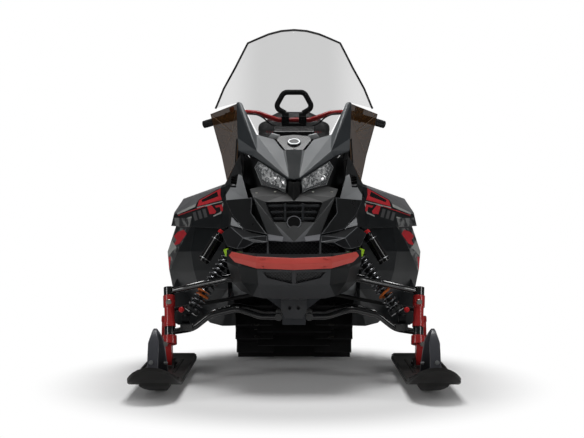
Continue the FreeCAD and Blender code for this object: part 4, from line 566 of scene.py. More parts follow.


# Grille: gloss black slats in front of a wire mesh, with a bare round boss in a pale ring at
# its foot.
# Wire mesh: pale crossed lines on black. Its pitch is about twice the real one, so that it
# shows. The slats in front of it are black gloss, lightened to dark grey as a painted sheen, and
# they catch long highlights.
mesh_black = netting("black_wire_mesh", "#050506", "#2c2e30", 9.0, 1.6)
slat_painted_sheen_grey = finish("glossy_slat_abs_painted_sheen", "#2f3133", 0.3, 2.0, 0.02)
refine("grille", [slat_painted_sheen_grey, mesh_black], edge=0.8,
       paint=lambda face: 1 if face.normal.y < -0.5 and face.calc_area() > 0.003 else 0)
boss_axis = Vector((0, -0.9, 0.43)).normalized()
BOSS_DROP, BOSS_AFT = EYE_HEIGHT - 632, 455
boss, _ = seen_at(tree_of("nose"), CENTRE_PIXEL,
                  HORIZON_PIXEL + FOCAL_PIXELS * BOSS_DROP / (EYE_AHEAD + BOSS_AFT))
sculpt = bmesh.new()
turned(sculpt, [(0, 3.5), (24, 3.5), (24.2, 4.6), (27, 4.6), (27.6, 3.5), (27.6, -8)], boss,
       boss_axis, steps=40)
for face in sculpt.faces:
    if 0.0235 < (face.calc_center_median() - boss).length < 0.0285 and \
            face.normal.dot(boss_axis) > 0.3:
        face.material_index = 1
show("nose_disc", sculpt, [gloss_black, lip_grey])


# Face panels: gloss black mouldings beside the grille, pale three-cornered facets and dark
# cheeks under them, and vented fins that rise to the windshield's foot.
# Gloss ABS mirrors the softboxes in broad bands, its eased edges are painted grey as a
# highlight, and the pale grey facets stand out from it.
panel_black = finish("black_gloss_abs", "#222324", 0.3, 2.5, 0.02)
edge_highlight_grey = finish("black_abs_painted_edge_highlight", "#66686b", 0.4, 0.8, 0.03)
refine("front_panels", [panel_black, edge_highlight_grey], edge=1.8, sharp=8, ink=1)
refine("corner_facets", finish("pale_grey_abs", "#9c9ea0", 0.38, 0.8, 0.03), edge=1.2)
# The cheeks' eased edges get the same painted highlight.
refine("cheeks", [finish("dark_gloss_abs", "#1b1c1e", 0.3, 2.5, 0.02),
                  edge_highlight_grey], edge=1.4, sharp=8, ink=1)


def inlay(sculpt, corners, ink):
    """Cuts a flat outline of (across, height) corners into both sides' outward faces, and inks
    them."""
    for side in (-1, 1):
        ring = [Vector((side * x / 1000, z / 1000)) for x, z in corners]
        low = Vector((min(p.x for p in ring), min(p.y for p in ring)))
        high = Vector((max(p.x for p in ring), max(p.y for p in ring)))

        def near():
            for face in sculpt.faces:
                spots = [v.co for v in face.verts]
                if min(p.x for p in spots) < high.x and max(p.x for p in spots) > low.x and \
                        min(p.z for p in spots) < high.y and max(p.z for p in spots) > low.y:
                    yield face

        for a, b in zip(ring, ring[1:] + ring[:1]):
            faces = list(near())
            geom = list(dict.fromkeys([*faces, *(e for f in faces for e in f.edges),
                                       *(v for f in faces for v in f.verts)]))
            bmesh.ops.bisect_plane(sculpt, geom=geom, dist=0.00002,
                                   plane_co=(a.x, 0, a.y), plane_no=(b.y - a.y, 0, a.x - b.x))
        for face in near():
            middle = face.calc_center_median()
            if face.normal.x * side * 0.8 - face.normal.y * 0.6 + face.normal.z * 0.2 < 0.1:
                continue
            inside = False
            for a, b in zip(ring, ring[1:] + ring[:1]):
                if (a.y > middle.z) != (b.y > middle.z) and \
                        middle.x < (b.x - a.x) * (middle.z - a.y) / (b.y - a.y) + a.x:
                    inside = not inside
            if inside:
                face.material_index = ink


fin_grey = finish("fin_grey_abs", "#929496", 0.42, 0.8, 0.03)
sculpt = eased(copy_of("fins"), 1.6, 8)
inlay(sculpt, [(170, 700), (285, 700), (276, 736), (222, 822), (204, 812)], 1)
refine("fins", [panel_black, fin_grey], edge=0, sculpt=sculpt)
sculpt = bmesh.new()
SLAT_AFT, SLAT_HALF = 792, 2.2
for side in (-1, 1):
    for z in (774, 785, 796, 807):
        slab(sculpt, [spot(side * x, SLAT_AFT, z + lift) for x, lift in
                      ((233, -SLAT_HALF), (256, 4 - SLAT_HALF), (256, 4 + SLAT_HALF),
                       (233, SLAT_HALF))], Vector((0, 0.012, 0.004)))
show("fin_slats", sculpt, gloss_black)
sculpt = bmesh.new()
for side in (-1, 1):
    slab(sculpt, [spot(side * x, u, z) for x, u, z in
                  ((150, 570, 700), (258, 716, 700), (262, 700, 600), (226, 600, 548),
                   (150, 520, 560))], Vector((0, 0.006, 0)))
    slab(sculpt, [spot(side * x, u, z) for x, u, z in
                  ((200, 836, 880), (243, 842, 868), (238, 872, 972), (206, 862, 940))],
         Vector((0, 0.004, 0)))
show("face_liner", sculpt, panel_black)
# Intake mesh: black with dark grey wires, about twice as coarse as real.
refine("intake", netting("black_intake_mesh", "#08090a", "#303235", 11.0, 1.9))


# Bumper and belly: a red painted steel band on black stays. Below it, the belly pan has a grey
# middle with two meshed windows and dark swept corners.
def band_depth(x):
    """How far aft the band's front face lies at a place across, in millimetres."""
    x = abs(x) * 1000
    return 326 + 18 * min(x, 142) / 142 + 86 * max(0, x - 142) / 108


# Painted steel is an even red with one long highlight. The pan's grained ABS is matt, and the
# reflectors are a bright lime.
refine("bumper", [finish("red_painted_steel", "#d0554d", 0.34, 1.2, 0.03),
                  gloss_black], edge=2.2, sharp=8,
       paint=lambda face: 1 if face.calc_center_median().y >
       spot(0, band_depth(face.calc_center_median().x) + 15, 0).y else 0)
refine("belly_pan", [finish("belly_grey_abs", "#3e3f41", 0.42, 1.0, 0.08),
                     finish("belly_black_abs", "#171a1b", 0.4, 1.0, 0.08)],
       edge=1.6, sharp=8, paint=lambda face: 1 if abs(face.calc_center_median().x) > 0.142 or
       face.normal.y > 0.2 else 0)
pan = tree_of("belly_pan")
sculpt = bmesh.new()
SCREEN_SINK = 0.009
for side in (-1, 1):
    corners = []
    for x, z, rim_x, rim_z in ((6, 398, 2, 395), (121, 398, 125, 395), (121, 450, 125, 453),
                               (6, 450, 2, 453)):
        rim, _ = hit(pan, (side * rim_x, 0, rim_z), (0, 1, 0))
        corners.append(Vector((side * x / 1000, rim.y + SCREEN_SINK, z / 1000)))
    slab(sculpt, corners, Vector((0, 0.002, 0)))
show("belly_screens", sculpt, mesh_black)
refine("corner_markers", finish("lime_acrylic_reflector", "#9fce12", 0.3, 3, 0.1))


# Side panels and foot wings: large moulded panels in satin black with a printed film. Its
# stripes and patches are plain shapes, without words.
# Printed film: smooth and half glossy, in flat greys and red. The mottled one breaks up into
# three greys in patches some 30 mm wide.
film_black = finish("black_printed_film", "#16191b", 0.34, 1.0, 0.03, drift=0.1)
film_dark = finish("dark_grey_film", "#6c6c6e", 0.38, 0.8, 0.03)
film_red = finish("red_printed_film", "#c02f37", 0.34, 0.8, 0.02)
film_pale = finish("pale_grey_film", "#a3a5a2", 0.34, 0.8, 0.02)
film_mid = finish("mid_grey_film", "#505051", 0.36, 0.8, 0.02)
camouflage, tree, where = blank("mottled_grey_film")
bend = add(tree, "TexNoise", {"Vector": where, "Scale": 26.0, "Detail": 2.0})
blots = add(tree, "ValToRGB", {"Fac": bend},
            stops=[(0.0, tone("#232527")), (0.47, tone("#4a4b4c")), (0.54, tone("#757675"))])
blots.color_ramp.interpolation = "CONSTANT"
skin = add(tree, "BsdfPrincipled", {"Base Color": blots, "Roughness": 0.36})
add(tree, "OutputMaterial", {"Surface": skin})
FILMS = [film_black, film_dark, film_red, film_pale, film_mid, camouflage, gloss_black]

SIDE_PATCHES = [
    (1, [(300, 768), (398, 718), (409, 700), (505, 659), (620, 612), (620, 800), (300, 800)]),
    (2, [(300, 765), (396, 716), (403, 690), (293, 718), (300, 739)]),
    (6, [(316, 752), (385, 717), (380, 708), (308, 733)]),
    (3, [(409, 702), (505, 660), (500, 654), (413, 688)]),
    (3, [(293, 713), (405, 687), (405, 683), (293, 709)]),
    (3, [(286, 704), (291, 704), (300, 668), (330, 654), (330, 649), (296, 663)]),
    (3, [(341, 700), (364, 695), (366, 690), (343, 696)]),
    (3, [(430, 648), (514, 622), (514, 616), (430, 642)]),
    (2, [(318, 672), (339, 696), (358, 693), (347, 659), (323, 662)]),
    (2, [(292, 700), (325, 694), (318, 686), (303, 690), (297, 672), (288, 672)]),
    (2, [(362, 695), (500, 651), (500, 648), (362, 692)]),
    (5, [(430, 640), (520, 640), (530, 600), (440, 600)]),
    (4, [(366, 682), (380, 678), (370, 644), (356, 648)]),
    (4, [(388, 675), (402, 671), (392, 637), (378, 641)]),
    (4, [(410, 668), (424, 664), (414, 630), (400, 634)])]
WING_PATCHES = [
    (5, [(422, 625), (487, 516), (540, 405), (560, 405), (560, 625)]),
    (4, [(440, 618), (452, 596), (560, 596), (560, 618)]),
    (2, [(455, 575), (470, 590), (500, 580), (520, 560), (505, 545), (520, 520), (490, 530),
         (478, 545)]),
    (3, [(503, 512), (540, 556), (547, 470), (520, 500)]),
    (2, [(533, 470), (549, 470), (549, 408), (541, 410)])]
for node, patches in (("side_panels", SIDE_PATCHES), ("foot_wings", WING_PATCHES)):
    sculpt = eased(copy_of(node), 1.6, 8)
    for ink, corners in patches:
        inlay(sculpt, corners, ink)
    refine(node, FILMS, edge=0, sculpt=sculpt, smooth=24)
TOE_AFT = 1133
TOE_GUARD = [(505, 378), (521, 338), (519, 190), (498, 178), (394, 182), (384, 222), (400, 300)]
sculpt = bmesh.new()
for side in (-1, 1):
    slab(sculpt, [spot(side * x, TOE_AFT, z) for x, z in TOE_GUARD], Vector((0, 0.005, 0)))
bmesh.ops.recalc_face_normals(sculpt, faces=sculpt.faces)
eased(sculpt, 1.6, 40)
show("toe_guards", sculpt, film_black)


# Windshield: one bent sheet of clear polycarbonate with a black rubber lip round its edge, and
# smoked deflectors that fold round the hands at its sides.
# Polycarbonate: the clear sheet is a faint grey haze, denser in its middle, where the photo's
# is, and the smoked one is brown, with a paler brown painted on its eased folds and edges as a
# highlight. The rubber lip is matt black.
SHIELD_AFT, SHIELD_FOOT, SHIELD_RAKE, SHIELD_BOW = 906, 978, 0.53, 0.0019
SHIELD_STEP, SHIELD_THICKNESS = 14, 0.004
sculpt = copy_of("windshield")
for x in range(-24 * SHIELD_STEP, 25 * SHIELD_STEP, SHIELD_STEP):
    cut(sculpt, (x / 1000, 0, 0), (1, 0, 0))
for vert in sculpt.verts:
    x, z = vert.co.x * 1000, vert.co.z * 1000
    aft = SHIELD_AFT + SHIELD_RAKE * (z - SHIELD_FOOT) + SHIELD_BOW * x * x
    front = spot(0, aft, 0).y
    behind = vert.co.y >= front + SHIELD_THICKNESS / 2
    vert.co.y = front + SHIELD_THICKNESS if behind else front
refine("windshield", see_through("clear_polycarbonate", "#0c0d0e", 0.225, 0.04, 0.145), edge=0,
       sculpt=sculpt, smooth=50)
rubber = finish("moulded_black_rubber", "#121213", 0.7, 1.2, 0.18)
refine("windshield_trim", rubber, edge=0)
smoked = see_through("smoked_polycarbonate", "#3c2409", 0.78, 0.25, shine=0.08)
sculpt = copy_of("deflectors")
for vert in sculpt.verts:
    if vert.co.z < 0.885:
        vert.co.x -= math.copysign(0.013 if abs(vert.co.x) < 0.268 else 0.009, vert.co.x)
# The eased folds and edges get a paler brown as a painted highlight.
refine("deflectors", [smoked, see_through("smoked_edge_painted_highlight", "#6d5a48", 0.9, 0.25,
                                           shine=0.2)],
       edge=1.6, sharp=8, ink=1, sculpt=sculpt)


# Console: a grained dash behind the windshield. Its instrument pod has two dials, and three
# rubber push buttons sit beside it. The tank below has a screwed cap.
refine("console", black_abs, edge=1.4, sharp=10)
refine("gauge", gloss_black, edge=3.0, sharp=15)
# Dial card: matt black, so that the white marks read.
dial_face = finish("black_dial_card", "#111214", 0.5, 0.6, 0.02)
dial_mark = finish("white_dial_ink", "#e6e6e2", 0.5, 0.6, 0.02)
pod = tree_of("gauge")
sculpt = bmesh.new()
MARKS, SWEEP = 25, 260


def blade(sculpt, place, out, ray, shape, lift, high, ink):
    """A flat mark on a dial, from (reach, side) corners in millimetres along a ray."""
    across = out.cross(ray)
    slab(sculpt, [place + out * lift + ray * r / 1000 + across * w / 1000 for r, w in shape],
         out * high, ink)


for x in (-42, 42):
    place, out = hit(pod, (x, 1500, 990), (0, -1, 0))
    turned(sculpt, [(0, 0.6), (20.5, 0.6), (21, 2.6), (23, 2.6), (24, 0)], place, out, steps=40)
    across = Vector((1, 0, 0))
    up = across.cross(out).normalized()
    for k in range(MARKS):
        a = math.radians(SWEEP * (k / (MARKS - 1) - 0.5))
        inner, wide = (16, 0.3) if k % 4 else (14, 0.6)
        blade(sculpt, place, out, across * math.sin(a) + up * math.cos(a),
              ((inner, -wide), (19, -wide), (19, wide), (inner, wide)), 0.0008, 0.0003, 1)
    blade(sculpt, place, out, (across * -0.7 + up * 0.4).normalized(),
          ((-4, -0.9), (17, -0.3), (17, 0.3), (-4, 0.9)), 0.0012, 0.0006, 2)
for face in sculpt.faces:
    if face.material_index == 0 and face.calc_area() < 0.00002:
        face.material_index = 3
show("dials", sculpt, [dial_face, dial_mark, film_red, bright_trim])
dash = tree_of("console")
sculpt = bmesh.new()
for x in (-150, -122, 122):
    place, out = hit(dash, (x, 1500, 1400), (0, -0.35, -0.94))
    if place:
        turned(sculpt, [(0, 5), (7, 5), (9, 3.4), (10, 0)], place, out, steps=20)
show("dash_buttons", sculpt, rubber)
# The tank's charcoal is its own colour; on the hood the same finish is painted shade.
refine("tank", charcoal_and_painted_shade, edge=10.0, sharp=15)
sculpt = bmesh.new()
place, out = hit(tree_of("tank"), (0, 1585, 1200), (0, 0, -1))
turned(sculpt, [(0, 22), (24, 22), (30, 18), (32, 4), (38, 3), (40, 0)], place, out, steps=36)
eased(sculpt, 0.6, 40)
show("fuel_cap", sculpt, black_abs)


# Steering: a red powder-coated bar in a black riser, with ribbed rubber grips and a stiff grab
# loop over its middle. The brake's cup is translucent, and the stop button is red.
# Red powder coat is smooth and fairly glossy, and the rubber is matt. The translucent cup is a
# plain dull amber.
red_coat = finish("red_powder_coat", "#b02c2c", 0.3, 1.4, 0.04, coat=0.5)
refine("handlebar", red_coat, edge=0)
refine("steering_post", gloss_black, edge=1.0)
refine("grab_strap", rubber, edge=0)
refine("column_bearing", gloss_black, edge=0)
refine("grips", rubber)
GRIP_END = (405, 1525, 1062)
BAR_BEND = (215, 1440, 1112)
GRIP_LENGTH = 118
sculpt = bmesh.new()


def bar_end(side):
    """The grip's outer end on one side, and the way that the bar points there."""
    end, bend = (spot(side * x, u, z) for x, u, z in (GRIP_END, BAR_BEND))
    return end, (end - bend).normalized()


for side in (-1, 1):
    end, axis = bar_end(side)
    for k in range(15):
        turned(sculpt, [(16.6, -1.6), (17.8, -0.8), (17.8, 0.8), (16.6, 1.6)],
               end - axis * (GRIP_LENGTH - 14 - 7 * k) / 1000, axis, steps=24)
show("grip_ribs", sculpt, rubber, "steering")

CONTROL_INSET = 30
amber_cup = finish("translucent_nylon_cup", "#8b8a80", 0.25, 2.0, 0.02)
button_red = finish("red_moulded_button", "#c3272b", 0.32, 0.8, 0.02)


def near_axis(sculpt, base, axis, start, end, radius, ink):
    """Inks the faces in a round reach along an axis, with sizes in millimetres."""
    for face in sculpt.faces:
        away = face.calc_center_median() - base
        along = away.dot(axis) * 1000
        if start <= along <= end and (away - axis * away.dot(axis)).length * 1000 <= radius:
            face.material_index = ink


for node, side in (("brake_set", 1), ("throttle_set", -1)):
    end, axis = bar_end(side)
    ahead = Vector((0, -1, 0))
    ahead = (ahead - axis * ahead.dot(axis)).normalized()
    up = (ahead.cross(axis) * side).normalized()
    middle = end - axis * (GRIP_LENGTH + CONTROL_INSET) / 1000
    sculpt = copy_of(node)
    if side > 0:
        near_axis(sculpt, middle + ahead * 0.034, up, 6, 36, 21, 1)
    else:
        near_axis(sculpt, middle, up, 23, 41, 12, 2)
    refine(node, [black_abs, amber_cup, button_red], edge=0.8, sculpt=sculpt)


# Brake hose and throttle cable: 7 mm black rubber lines from the controls into the riser. Each
# follows one smooth curve. Hose rubber has a dull sheen along it.
CABLE_ROUTE = [(262.5, 1443.8, 1099.5), (237.4, 1428.2, 1106.1), (150, 1400, 1100),
               (100, 1412, 1046), (56.4, 1412, 1046)]
CABLE_DIAMETER = 7.0
hose = finish("black_hose_rubber", "#151516", 0.5, 1.0, 0.08)
for side, name in ((1, "brake_hose"), (-1, "throttle_cable")):
    cable = strand(name, [spot(side * x, u, z) for x, u, z in CABLE_ROUTE], CABLE_DIAMETER / 2, 5,
                   steps=16)
    cable.data.materials.append(hose)
    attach(cable, "steering")
    if side > 0:
        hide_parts("control_cables")


# Front suspension: black tube arms and gas shocks with coil springs. An orange band marks each
# spring, and a red adjuster sits on each canister.
def bolt(sculpt, place, axis, across, high):
    """A hexagon head on a washer; sizes are in millimetres."""
    axis = Vector(axis).normalized()
    turned(sculpt, [(0, 1.6), (across * 0.72, 1.6), (across * 0.78, 0)], place, axis, 20)
    part = bmesh.new()
    bmesh.ops.create_cone(part, cap_ends=True, segments=6, radius1=across * 0.577 / 1000,
                          radius2=across * 0.577 / 1000, depth=high / 1000,
                          matrix=Matrix.Translation(place + axis * (high / 2 + 1.6) / 1000) @
                          axis.to_track_quat("Z", "Y").to_matrix().to_4x4())
    pour(part, sculpt)


# Coated tube is black and glossy enough to show a bright line. Anodised and chromed metal
# glints, and the spring's coils show as a row of glints.
arm_black = finish("black_powder_coated_tube", "#101112", 0.22, 1.5, 0.04, coat=0.8, shine=0.5)
refine("lower_arms", arm_black)
refine("upper_arms", arm_black)
refine("shocks", finish("black_anodised_shock", "#1b1c1e", 0.32, 0.8, 0.02,
                        metallic=0.6), edge=0.6)
refine("shock_reservoirs", gloss_black, edge=1.0)
SHOCK_TOP, SHOCK_FOOT = (236, 705, 528), (428, 642, 248)
COIL_RADIUS, WIRE_RADIUS, COIL_TURNS = 24.0, 5.0, 12
COIL_START, COIL_END = 0.142, 0.858
BAND_PLACE, BAND_HALF = 0.72, 0.012
coils = []
collar = bmesh.new()
for side in (-1, 1):
    top, foot = (spot(side * x, u, z) for x, u, z in (SHOCK_TOP, SHOCK_FOOT))
    start, end = top + (foot - top) * COIL_START, top + (foot - top) * COIL_END
    steps = 20 * COIL_TURNS
    part = bmesh.new()
    bmesh.ops.create_circle(part, segments=10, radius=WIRE_RADIUS / 1000,
                            matrix=Matrix.Translation((COIL_RADIUS / 1000, 0, 0)) @
                            Matrix.Rotation(math.radians(90), 4, "X"))
    bmesh.ops.spin(part, geom=part.verts[:] + part.edges[:], cent=(0, 0, 0), axis=(0, 0, 1),
                   dvec=(0, 0, (end - start).length / steps), angle=2 * math.pi * COIL_TURNS,
                   steps=steps, use_merge=False)
    bmesh.ops.holes_fill(part, edges=part.edges[:], sides=12)
    pose = Matrix.Translation(start) @ (end - start).to_track_quat("Z", "Y").to_matrix().to_4x4()
    bmesh.ops.transform(part, matrix=pose, verts=part.verts)
    near = start + (end - start) * BAND_PLACE
    for face in part.faces:
        away = (face.calc_center_median() - near).dot((end - start).normalized())
        face.material_index = 1 if abs(away) < BAND_HALF else 0
    coils.append(part)
    across = (foot - top).normalized()
    for seat in (start - across * 0.012, end + across * 0.002):
        turned(collar, [(20, 0), (31, 0), (32, 2), (32, 8), (31, 10), (20, 10)], seat, across, 36)
    ball = spot(side * 446, 632, 284)
    turned(collar, [(0, 11), (7, 9), (10.5, 4), (11, 0), (10.5, -4), (7, -9), (0, -11)], ball,
           (0, -1, 0.1), 24, 1)
    low, high = (spot(side * x, u, z) for x, u, z in ((364, 705, 470), (300, 715, 574)))
    way = (high - low).normalized()
    for share in (0.12, 0.86):
        turned(collar, [(23, -2.2), (24.2, -1.4), (24.2, 1.4), (23, 2.2)],
               low + (high - low) * share, way, 32, 2)
    turned(collar, [(0, 8), (9, 8), (13.5, 5), (15, 0), (15, -6), (13, -6)],
           low + (high - low) * 1.14, way, 24, 1)
piece = show("coil_springs", joined(coils),
             [finish("black_chromed_spring", "#6c6d70", 0.2, 1.0, 0.02, metallic=0.9),
              finish("orange_paint_mark", "#c0632a", 0.4, grain=1.0)])
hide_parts("shock_springs")
show("shock_collars", collar, [frame_grey, button_red, bright_trim])


# Spindles, link and frames: red coated castings with plated bolts, a plated cross link, and
# alloy frames that carry the arms. Cast aluminium is dull and pitted; the front frame's is
# coloured near black, painted shade for where it lies deep behind the bumper and belly. Rolled
# sheet has soft streaks along it, and the skis' polyethylene is a waxy near black.
cast_alloy_painted_shade = finish("cast_aluminium_painted_shade", "#34363a", 0.42, 0.9, 0.14, metallic=0.5)
rolled_alloy = finish("rolled_aluminium", "#a3a6a8", 0.36, 2.2, 0.03, metallic=1.0,
                      stretch=(1, 0.08, 1))
refine("steering_link", finish("black_plated_steel", "#1b1b1c", 0.34, metallic=0.5), edge=0.4)
# The front frame's bare cast aluminium is coloured near black as painted shade.
refine("front_frame", cast_alloy_painted_shade, edge=1.2)
refine("bay_frame", finish("dark_coated_alloy", "#26282a", 0.4, grain=1.2, metallic=0.4), edge=0.6)
refine("engine", finish("cast_engine_alloy", "#3a3c3e", 0.5, 1.4, 0.3, metallic=0.6), edge=3.0)
slick_hdpe = finish("black_polyethylene", "#1d1c1b", 0.45, 1.0, 0.08, drift=0.14)
loop_grey = finish("grey_coated_steel", "#4a4b50", 0.36, 1.2, 0.04, coat=0.2)
clip_grey = finish("pale_zinc_clip", "#a9abac", 0.3, metallic=0.7)
for side, name in ((1, "left"), (-1, "right")):
    refine("spindle_" + name, red_coat, edge=0.5)
    refine("ski_" + name, slick_hdpe, edge=1.6)
    refine("ski_loop_" + name, loop_grey, edge=2.0)
    surface = tree_of("spindle_" + name)
    sculpt = bmesh.new()
    for x, z in ((498, 312), (504, 152), (500, 352)):
        place, out = hit(surface, (side * x, 300, z), (0, 1, 0))
        if place:
            bolt(sculpt, place, (0, -1, 0), 15, 7)
    show("spindle_bolts_" + name, sculpt, zinc_steel, "spindle_" + name)
    surface = tree_of("ski_" + name)
    treads, keeps = bmesh.new(), bmesh.new()
    for u in range(470, 900, 26):
        for x in (462, 548):
            place, out = hit(surface, (side * x, u, 200), (0, 0, -1))
            if place and out.z > 0.5:
                turned(treads, [(0, 3.2), (6, 3.2), (8, 0)], place - out * 0.0004, out, 8)
    surface = tree_of("ski_loop_" + name)
    for px in (150.5, 165.5):
        place, out = seen_at(surface, CENTRE_PIXEL + side * (CENTRE_PIXEL - px), 363)
        if place:
            bolt(keeps, place, out, 11, 4)
    show("ski_treads_" + name, treads, slick_hdpe, "ski_" + name)
    show("ski_clips_" + name, keeps, clip_grey, "ski_" + name)


# Seats and backrest: foam pads in black marine vinyl over moulded bases. Sewn channels cross
# them, and a grey piping runs along their sides.
# Marine vinyl: a soft even sheen broken by pebbles 2 mm wide, which is about twice the real
# size. The piping is a smooth dark grey line, and the thread gives rows of dull red dashes.
vinyl, tree, where = blank("black_marine_vinyl")
pebbles = add(tree, "TexVoronoi", {"Vector": where, "Scale": 480.0}, feature="DISTANCE_TO_EDGE")
slow = add(tree, "TexNoise", {"Vector": where, "Scale": 7.0, "Detail": 4.0})
grain = add(tree, "MapRange", {"Value": pebbles, "From Max": 0.2})
bump = add(tree, "Bump", {"Height": grain, "Strength": 0.7, "Distance": 0.00025})
shades = add(tree, "ValToRGB", {"Fac": slow},
             stops=[(0.35, tone("#131314")), (0.65, tone("#1c1c1d"))])
gloss = add(tree, "MapRange", {"Value": slow, "To Min": 0.42, "To Max": 0.56})
skin = add(tree, "BsdfPrincipled", {"Base Color": shades, "Roughness": gloss, "Normal": bump,
                                    "Sheen Weight": 0.1})
add(tree, "OutputMaterial", {"Surface": skin})
piping_grey = finish("grey_vinyl_piping", "#3c3d3f", 0.5, 1.0, 0.05)
thread_red = finish("red_polyester_thread", "#a3292b", 0.6, 0.8, 0.1)

VOXEL, SHRINK, SWELL = 0.009, 0.005, 0.014
CLOTH_PRESSURE, CLOTH_FRAMES, PASSES = 4, 20, 6
SEAM_DEPTH, SEAM_REACH = 0.004, 0.012


def stuffed(node, floor_height=None):
    """The CAD pad remeshed, softened and blown up a little by cloth pressure."""
    sculpt = copy_of(node)
    for vert in sculpt.verts:
        vert.co -= vert.normal * SHRINK
    mesh = bpy.data.meshes.new(node + "_pad")
    sculpt.to_mesh(mesh)
    sculpt.free()
    pad = bpy.data.objects.new(node + "_pad", mesh)
    scene.collection.objects.link(pad)
    skin_mod = pad.modifiers.new("voxels", "REMESH")
    skin_mod.mode = "VOXEL"
    skin_mod.voxel_size = VOXEL
    graph = bpy.context.evaluated_depsgraph_get()
    pad.data = bpy.data.meshes.new_from_object(pad.evaluated_get(graph))
    pad.modifiers.clear()
    sculpt = bmesh.new()
    sculpt.from_mesh(pad.data)
    for _ in range(PASSES):
        bmesh.ops.smooth_vert(sculpt, verts=sculpt.verts, factor=0.5, use_axis_x=True,
                              use_axis_y=True, use_axis_z=True)
    sculpt.to_mesh(pad.data)
    sculpt.free()
    rest = [v.co.copy() for v in pad.data.vertices]
    cloth = pad.modifiers.new("foam", "CLOTH")
    cloth.settings.use_pressure = True
    cloth.settings.uniform_pressure_force = CLOTH_PRESSURE
    cloth.settings.effector_weights.gravity = 0
    cloth.point_cache.frame_start = 1
    cloth.point_cache.frame_end = CLOTH_FRAMES
    for step in range(1, CLOTH_FRAMES + 1):
        scene.frame_set(step)
    graph = bpy.context.evaluated_depsgraph_get()
    blown = [v.co.copy() for v in pad.evaluated_get(graph).data.vertices]
    pad.modifiers.clear()
    scene.frame_set(1)
    for vert, old, new in zip(pad.data.vertices, rest, blown):
        move = new - old
        vert.co = old + move * min(1, SWELL / max(move.length, 1e-9))
    if floor_height:
        for vert in pad.data.vertices:
            vert.co.z = max(vert.co.z, floor_height)
    return pad


def sewn(pad, seams):
    """Sinks the surface along flat seam planes, each given by a place and a direction."""
    for vert in pad.data.vertices:
        for place, way in seams:
            gap = abs((vert.co - place).dot(way))
            if gap < SEAM_REACH:
                share = 0.5 + 0.5 * math.cos(math.pi * gap / SEAM_REACH)
                vert.co -= vert.normal * SEAM_DEPTH * share
    pad.data.update()


def laid(pad, starts, way):
    """Places on a pad's surface, found from outside along a way."""
    surface = surface_of(pad.data)
    found = [surface.ray_cast(start, way)[:2] for start in starts]
    return [(place, out) for place, out in found if place]


def dressed(pad, node):
    """Finishes a pad: smooth shading, one subdivision, material and body."""
    pad.data.materials.clear()
    pad.data.materials.append(vinyl)
    pad.data.shade_smooth()
    softer = pad.modifiers.new("smooth", "SUBSURF")
    softer.levels = 1
    softer.render_levels = 1
    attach(pad, "chassis")
    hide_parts(node)


SEAT_BASE = spot(0, 0, 566.4).z
beads, threads = [], []
for node, first, last, edge_height, channels in (
        ("driver_seat", 1668, 2146, 788, (1760, 1850, 1940, 2030, 2110)),
        ("rear_seat", 2178, 2646, 872, (2250, 2340, 2430, 2520, 2600))):
    pad = stuffed(node, SEAT_BASE)
    sewn(pad, [(spot(0, u, 0), Vector((0, 1, 0))) for u in channels])
    for u in channels:
        for shift in (-4, 4):
            threads.append(laid(pad, [spot(x, u + shift, 1100) for x in range(-105, 106, 15)],
                                Vector((0, 0, -1))))
    for side in (-1, 1):
        starts = [spot(side * 400, u, edge_height + (u - first) * 0.04)
                  for u in range(first, last, 24)]
        beads.append(laid(pad, starts, Vector((-side, 0, 0))))
    dressed(pad, node)
pad = stuffed("backrest")
BACK_SEAMS = (1010, 1075, 1140)
sewn(pad, [(spot(0, 0, z), Vector((0, 0, 1))) for z in BACK_SEAMS])
for z in BACK_SEAMS:
    for shift in (-4, 4):
        threads.append(laid(pad, [spot(x, 2400, z + shift) for x in range(-150, 151, 15)],
                            Vector((0, 1, 0))))
dressed(pad, "backrest")
# A stitch is as long as a real one, and its thread is drawn a little wide.
STITCH = 0.0085
sculpt = inked(joined([piping([place for place, _ in row], 3.2) for row in beads]), 0)
for row in threads:
    for (a, out), (b, _) in zip(row, row[1:]):
        count = max(1, int((b - a).length / STITCH))
        for k in range(count):
            start, end = a.lerp(b, (k + 0.18) / count), a.lerp(b, (k + 0.82) / count)
            wide = (end - start).cross(out).normalized() * 0.0006
            slab(sculpt, [start - wide, end - wide, end + wide, start + wide], out * 0.0011, 1)
show("seat_trim", sculpt, [piping_grey, thread_red])
refine("backrest_frame", arm_black)


# Tunnel and boards: folded aluminium sheet with rows of rivets. The boards are punched, and
# the holes' raised rims grip the boot. Each punched hole is a matt black disc on the board,
# painted shade for the dark space seen through it.
refine("tunnel", rolled_alloy)
refine("running_boards", rolled_alloy, edge=0.6)
tunnel_skin = tree_of("tunnel")
board_skin = tree_of("running_boards")
rivets, teeth, hole_shade_discs = bmesh.new(), bmesh.new(), bmesh.new()
RIVET = [(0, 1.6), (2.6, 1.3), (4.0, 0)]
for side in (-1, 1):
    for u in range(920, 3030, 60):
        for z in (548, 384):
            place, out = hit(tunnel_skin, (side * 420, u, z), (-side, 0, 0))
            if place and abs(place.x) < 0.28:
                turned(rivets, RIVET, place, out, 10)
    for u in range(1215, 2890, 30):
        for x in (292, 372):
            place, out = hit(board_skin, (side * x, u, 500), (0, 0, -1))
            if place and out.z > 0.8:
                turned(teeth, [(3.4, 3.4), (4.2, 3.2), (6.6, 0)], place - out * 0.0002, out, 8)
        place, out = hit(board_skin, (side * 332, u, 500), (0, 0, -1))
        if place and out.z > 0.8:
            turned(hole_shade_discs, [(0, 0.5), (11, 0.5), (11.5, 0)], place, out, 16)
show("tunnel_rivets", rivets, zinc_steel)
show("board_teeth", teeth, rolled_alloy)
show("board_hole_shade_discs", hole_shade_discs, finish("punched_hole_painted_shade", "#131415", 0.6))


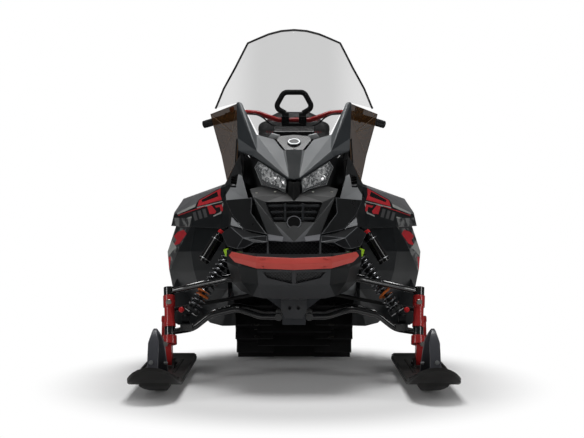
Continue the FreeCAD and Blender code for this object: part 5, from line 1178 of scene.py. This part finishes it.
# Rack, bumper, lamp and flap: black coated tube, a red ribbed lens and a ribbed rubber flap
# behind the track. The lens is deep red and very glossy, with darker ribs.
refine("rack", arm_black, edge=1.0)
refine("rear_bumper", arm_black, edge=0)
refine("tail_light", finish("red_acrylic_lens", "#a00f12", 0.16, grain=3, coat=0.6), edge=2.4)
lamp = tree_of("tail_light")
sculpt = bmesh.new()
for x in range(-72, 73, 12):
    rows = [hit(lamp, (x, 3200, z), (0, -1, 0))[0] for z in (568, 582, 596, 606)]
    rows = [p for p in rows if p]
    if len(rows) > 1:
        pour(piping(rows, 0.8), sculpt)
show("tail_ribs", sculpt, finish("dark_red_acrylic_rib", "#6c0a0c", 0.2))
refine("snow_flap", rubber, edge=1.8)
flap = tree_of("snow_flap")
parts = []
for x in (-200, -140, -80, 80, 140, 200):
    rows = [hit(flap, (x, 3400, z), (0, -1, 0))[0]
            for z in (530, 480, 430, 380, 330, 280, 230, 200)]
    parts.append(piping([p for p in rows if p], 3.4))
show("flap_ribs", joined(parts), rubber)


# Track and running gear: one moulded rubber loop with plated clips between its windows, black
# wheels with rubber tyres, and alloy slide rails. The track's rubber is matt and uneven.
track_rubber = finish("cord_reinforced_rubber", "#19191a", 0.62, 2.4, 0.3, drift=0.12)
refine("track", track_rubber, edge=0, smooth=30)
belt = tree_of("track")
sculpt = bmesh.new()
for x in (-160, 160):
    for z in (120, 153, 186, 219, 252, 285, 318):
        place, out = hit(belt, (x, 400, z), (0, 1, 0))
        if place and out.y < -0.3:
            along = out.cross(Vector((1, 0, 0))).normalized() * 0.0035
            wide = Vector((0.013, 0, 0))
            slab(sculpt, [place - wide - along, place + wide - along, place + wide + along,
                          place - wide + along], out * 0.0012)
show("track_clips", sculpt, zinc_steel)
refine("drive_axle", zinc_steel, edge=0.6)
refine("slide_rails", rolled_alloy, edge=1.0)
refine("idler_wheels", [black_abs, rubber], edge=0.8,
       paint=lambda face: 1 if abs(face.normal.x) < 0.3 else 0)
refine("skid_suspension", arm_black, edge=0.6)
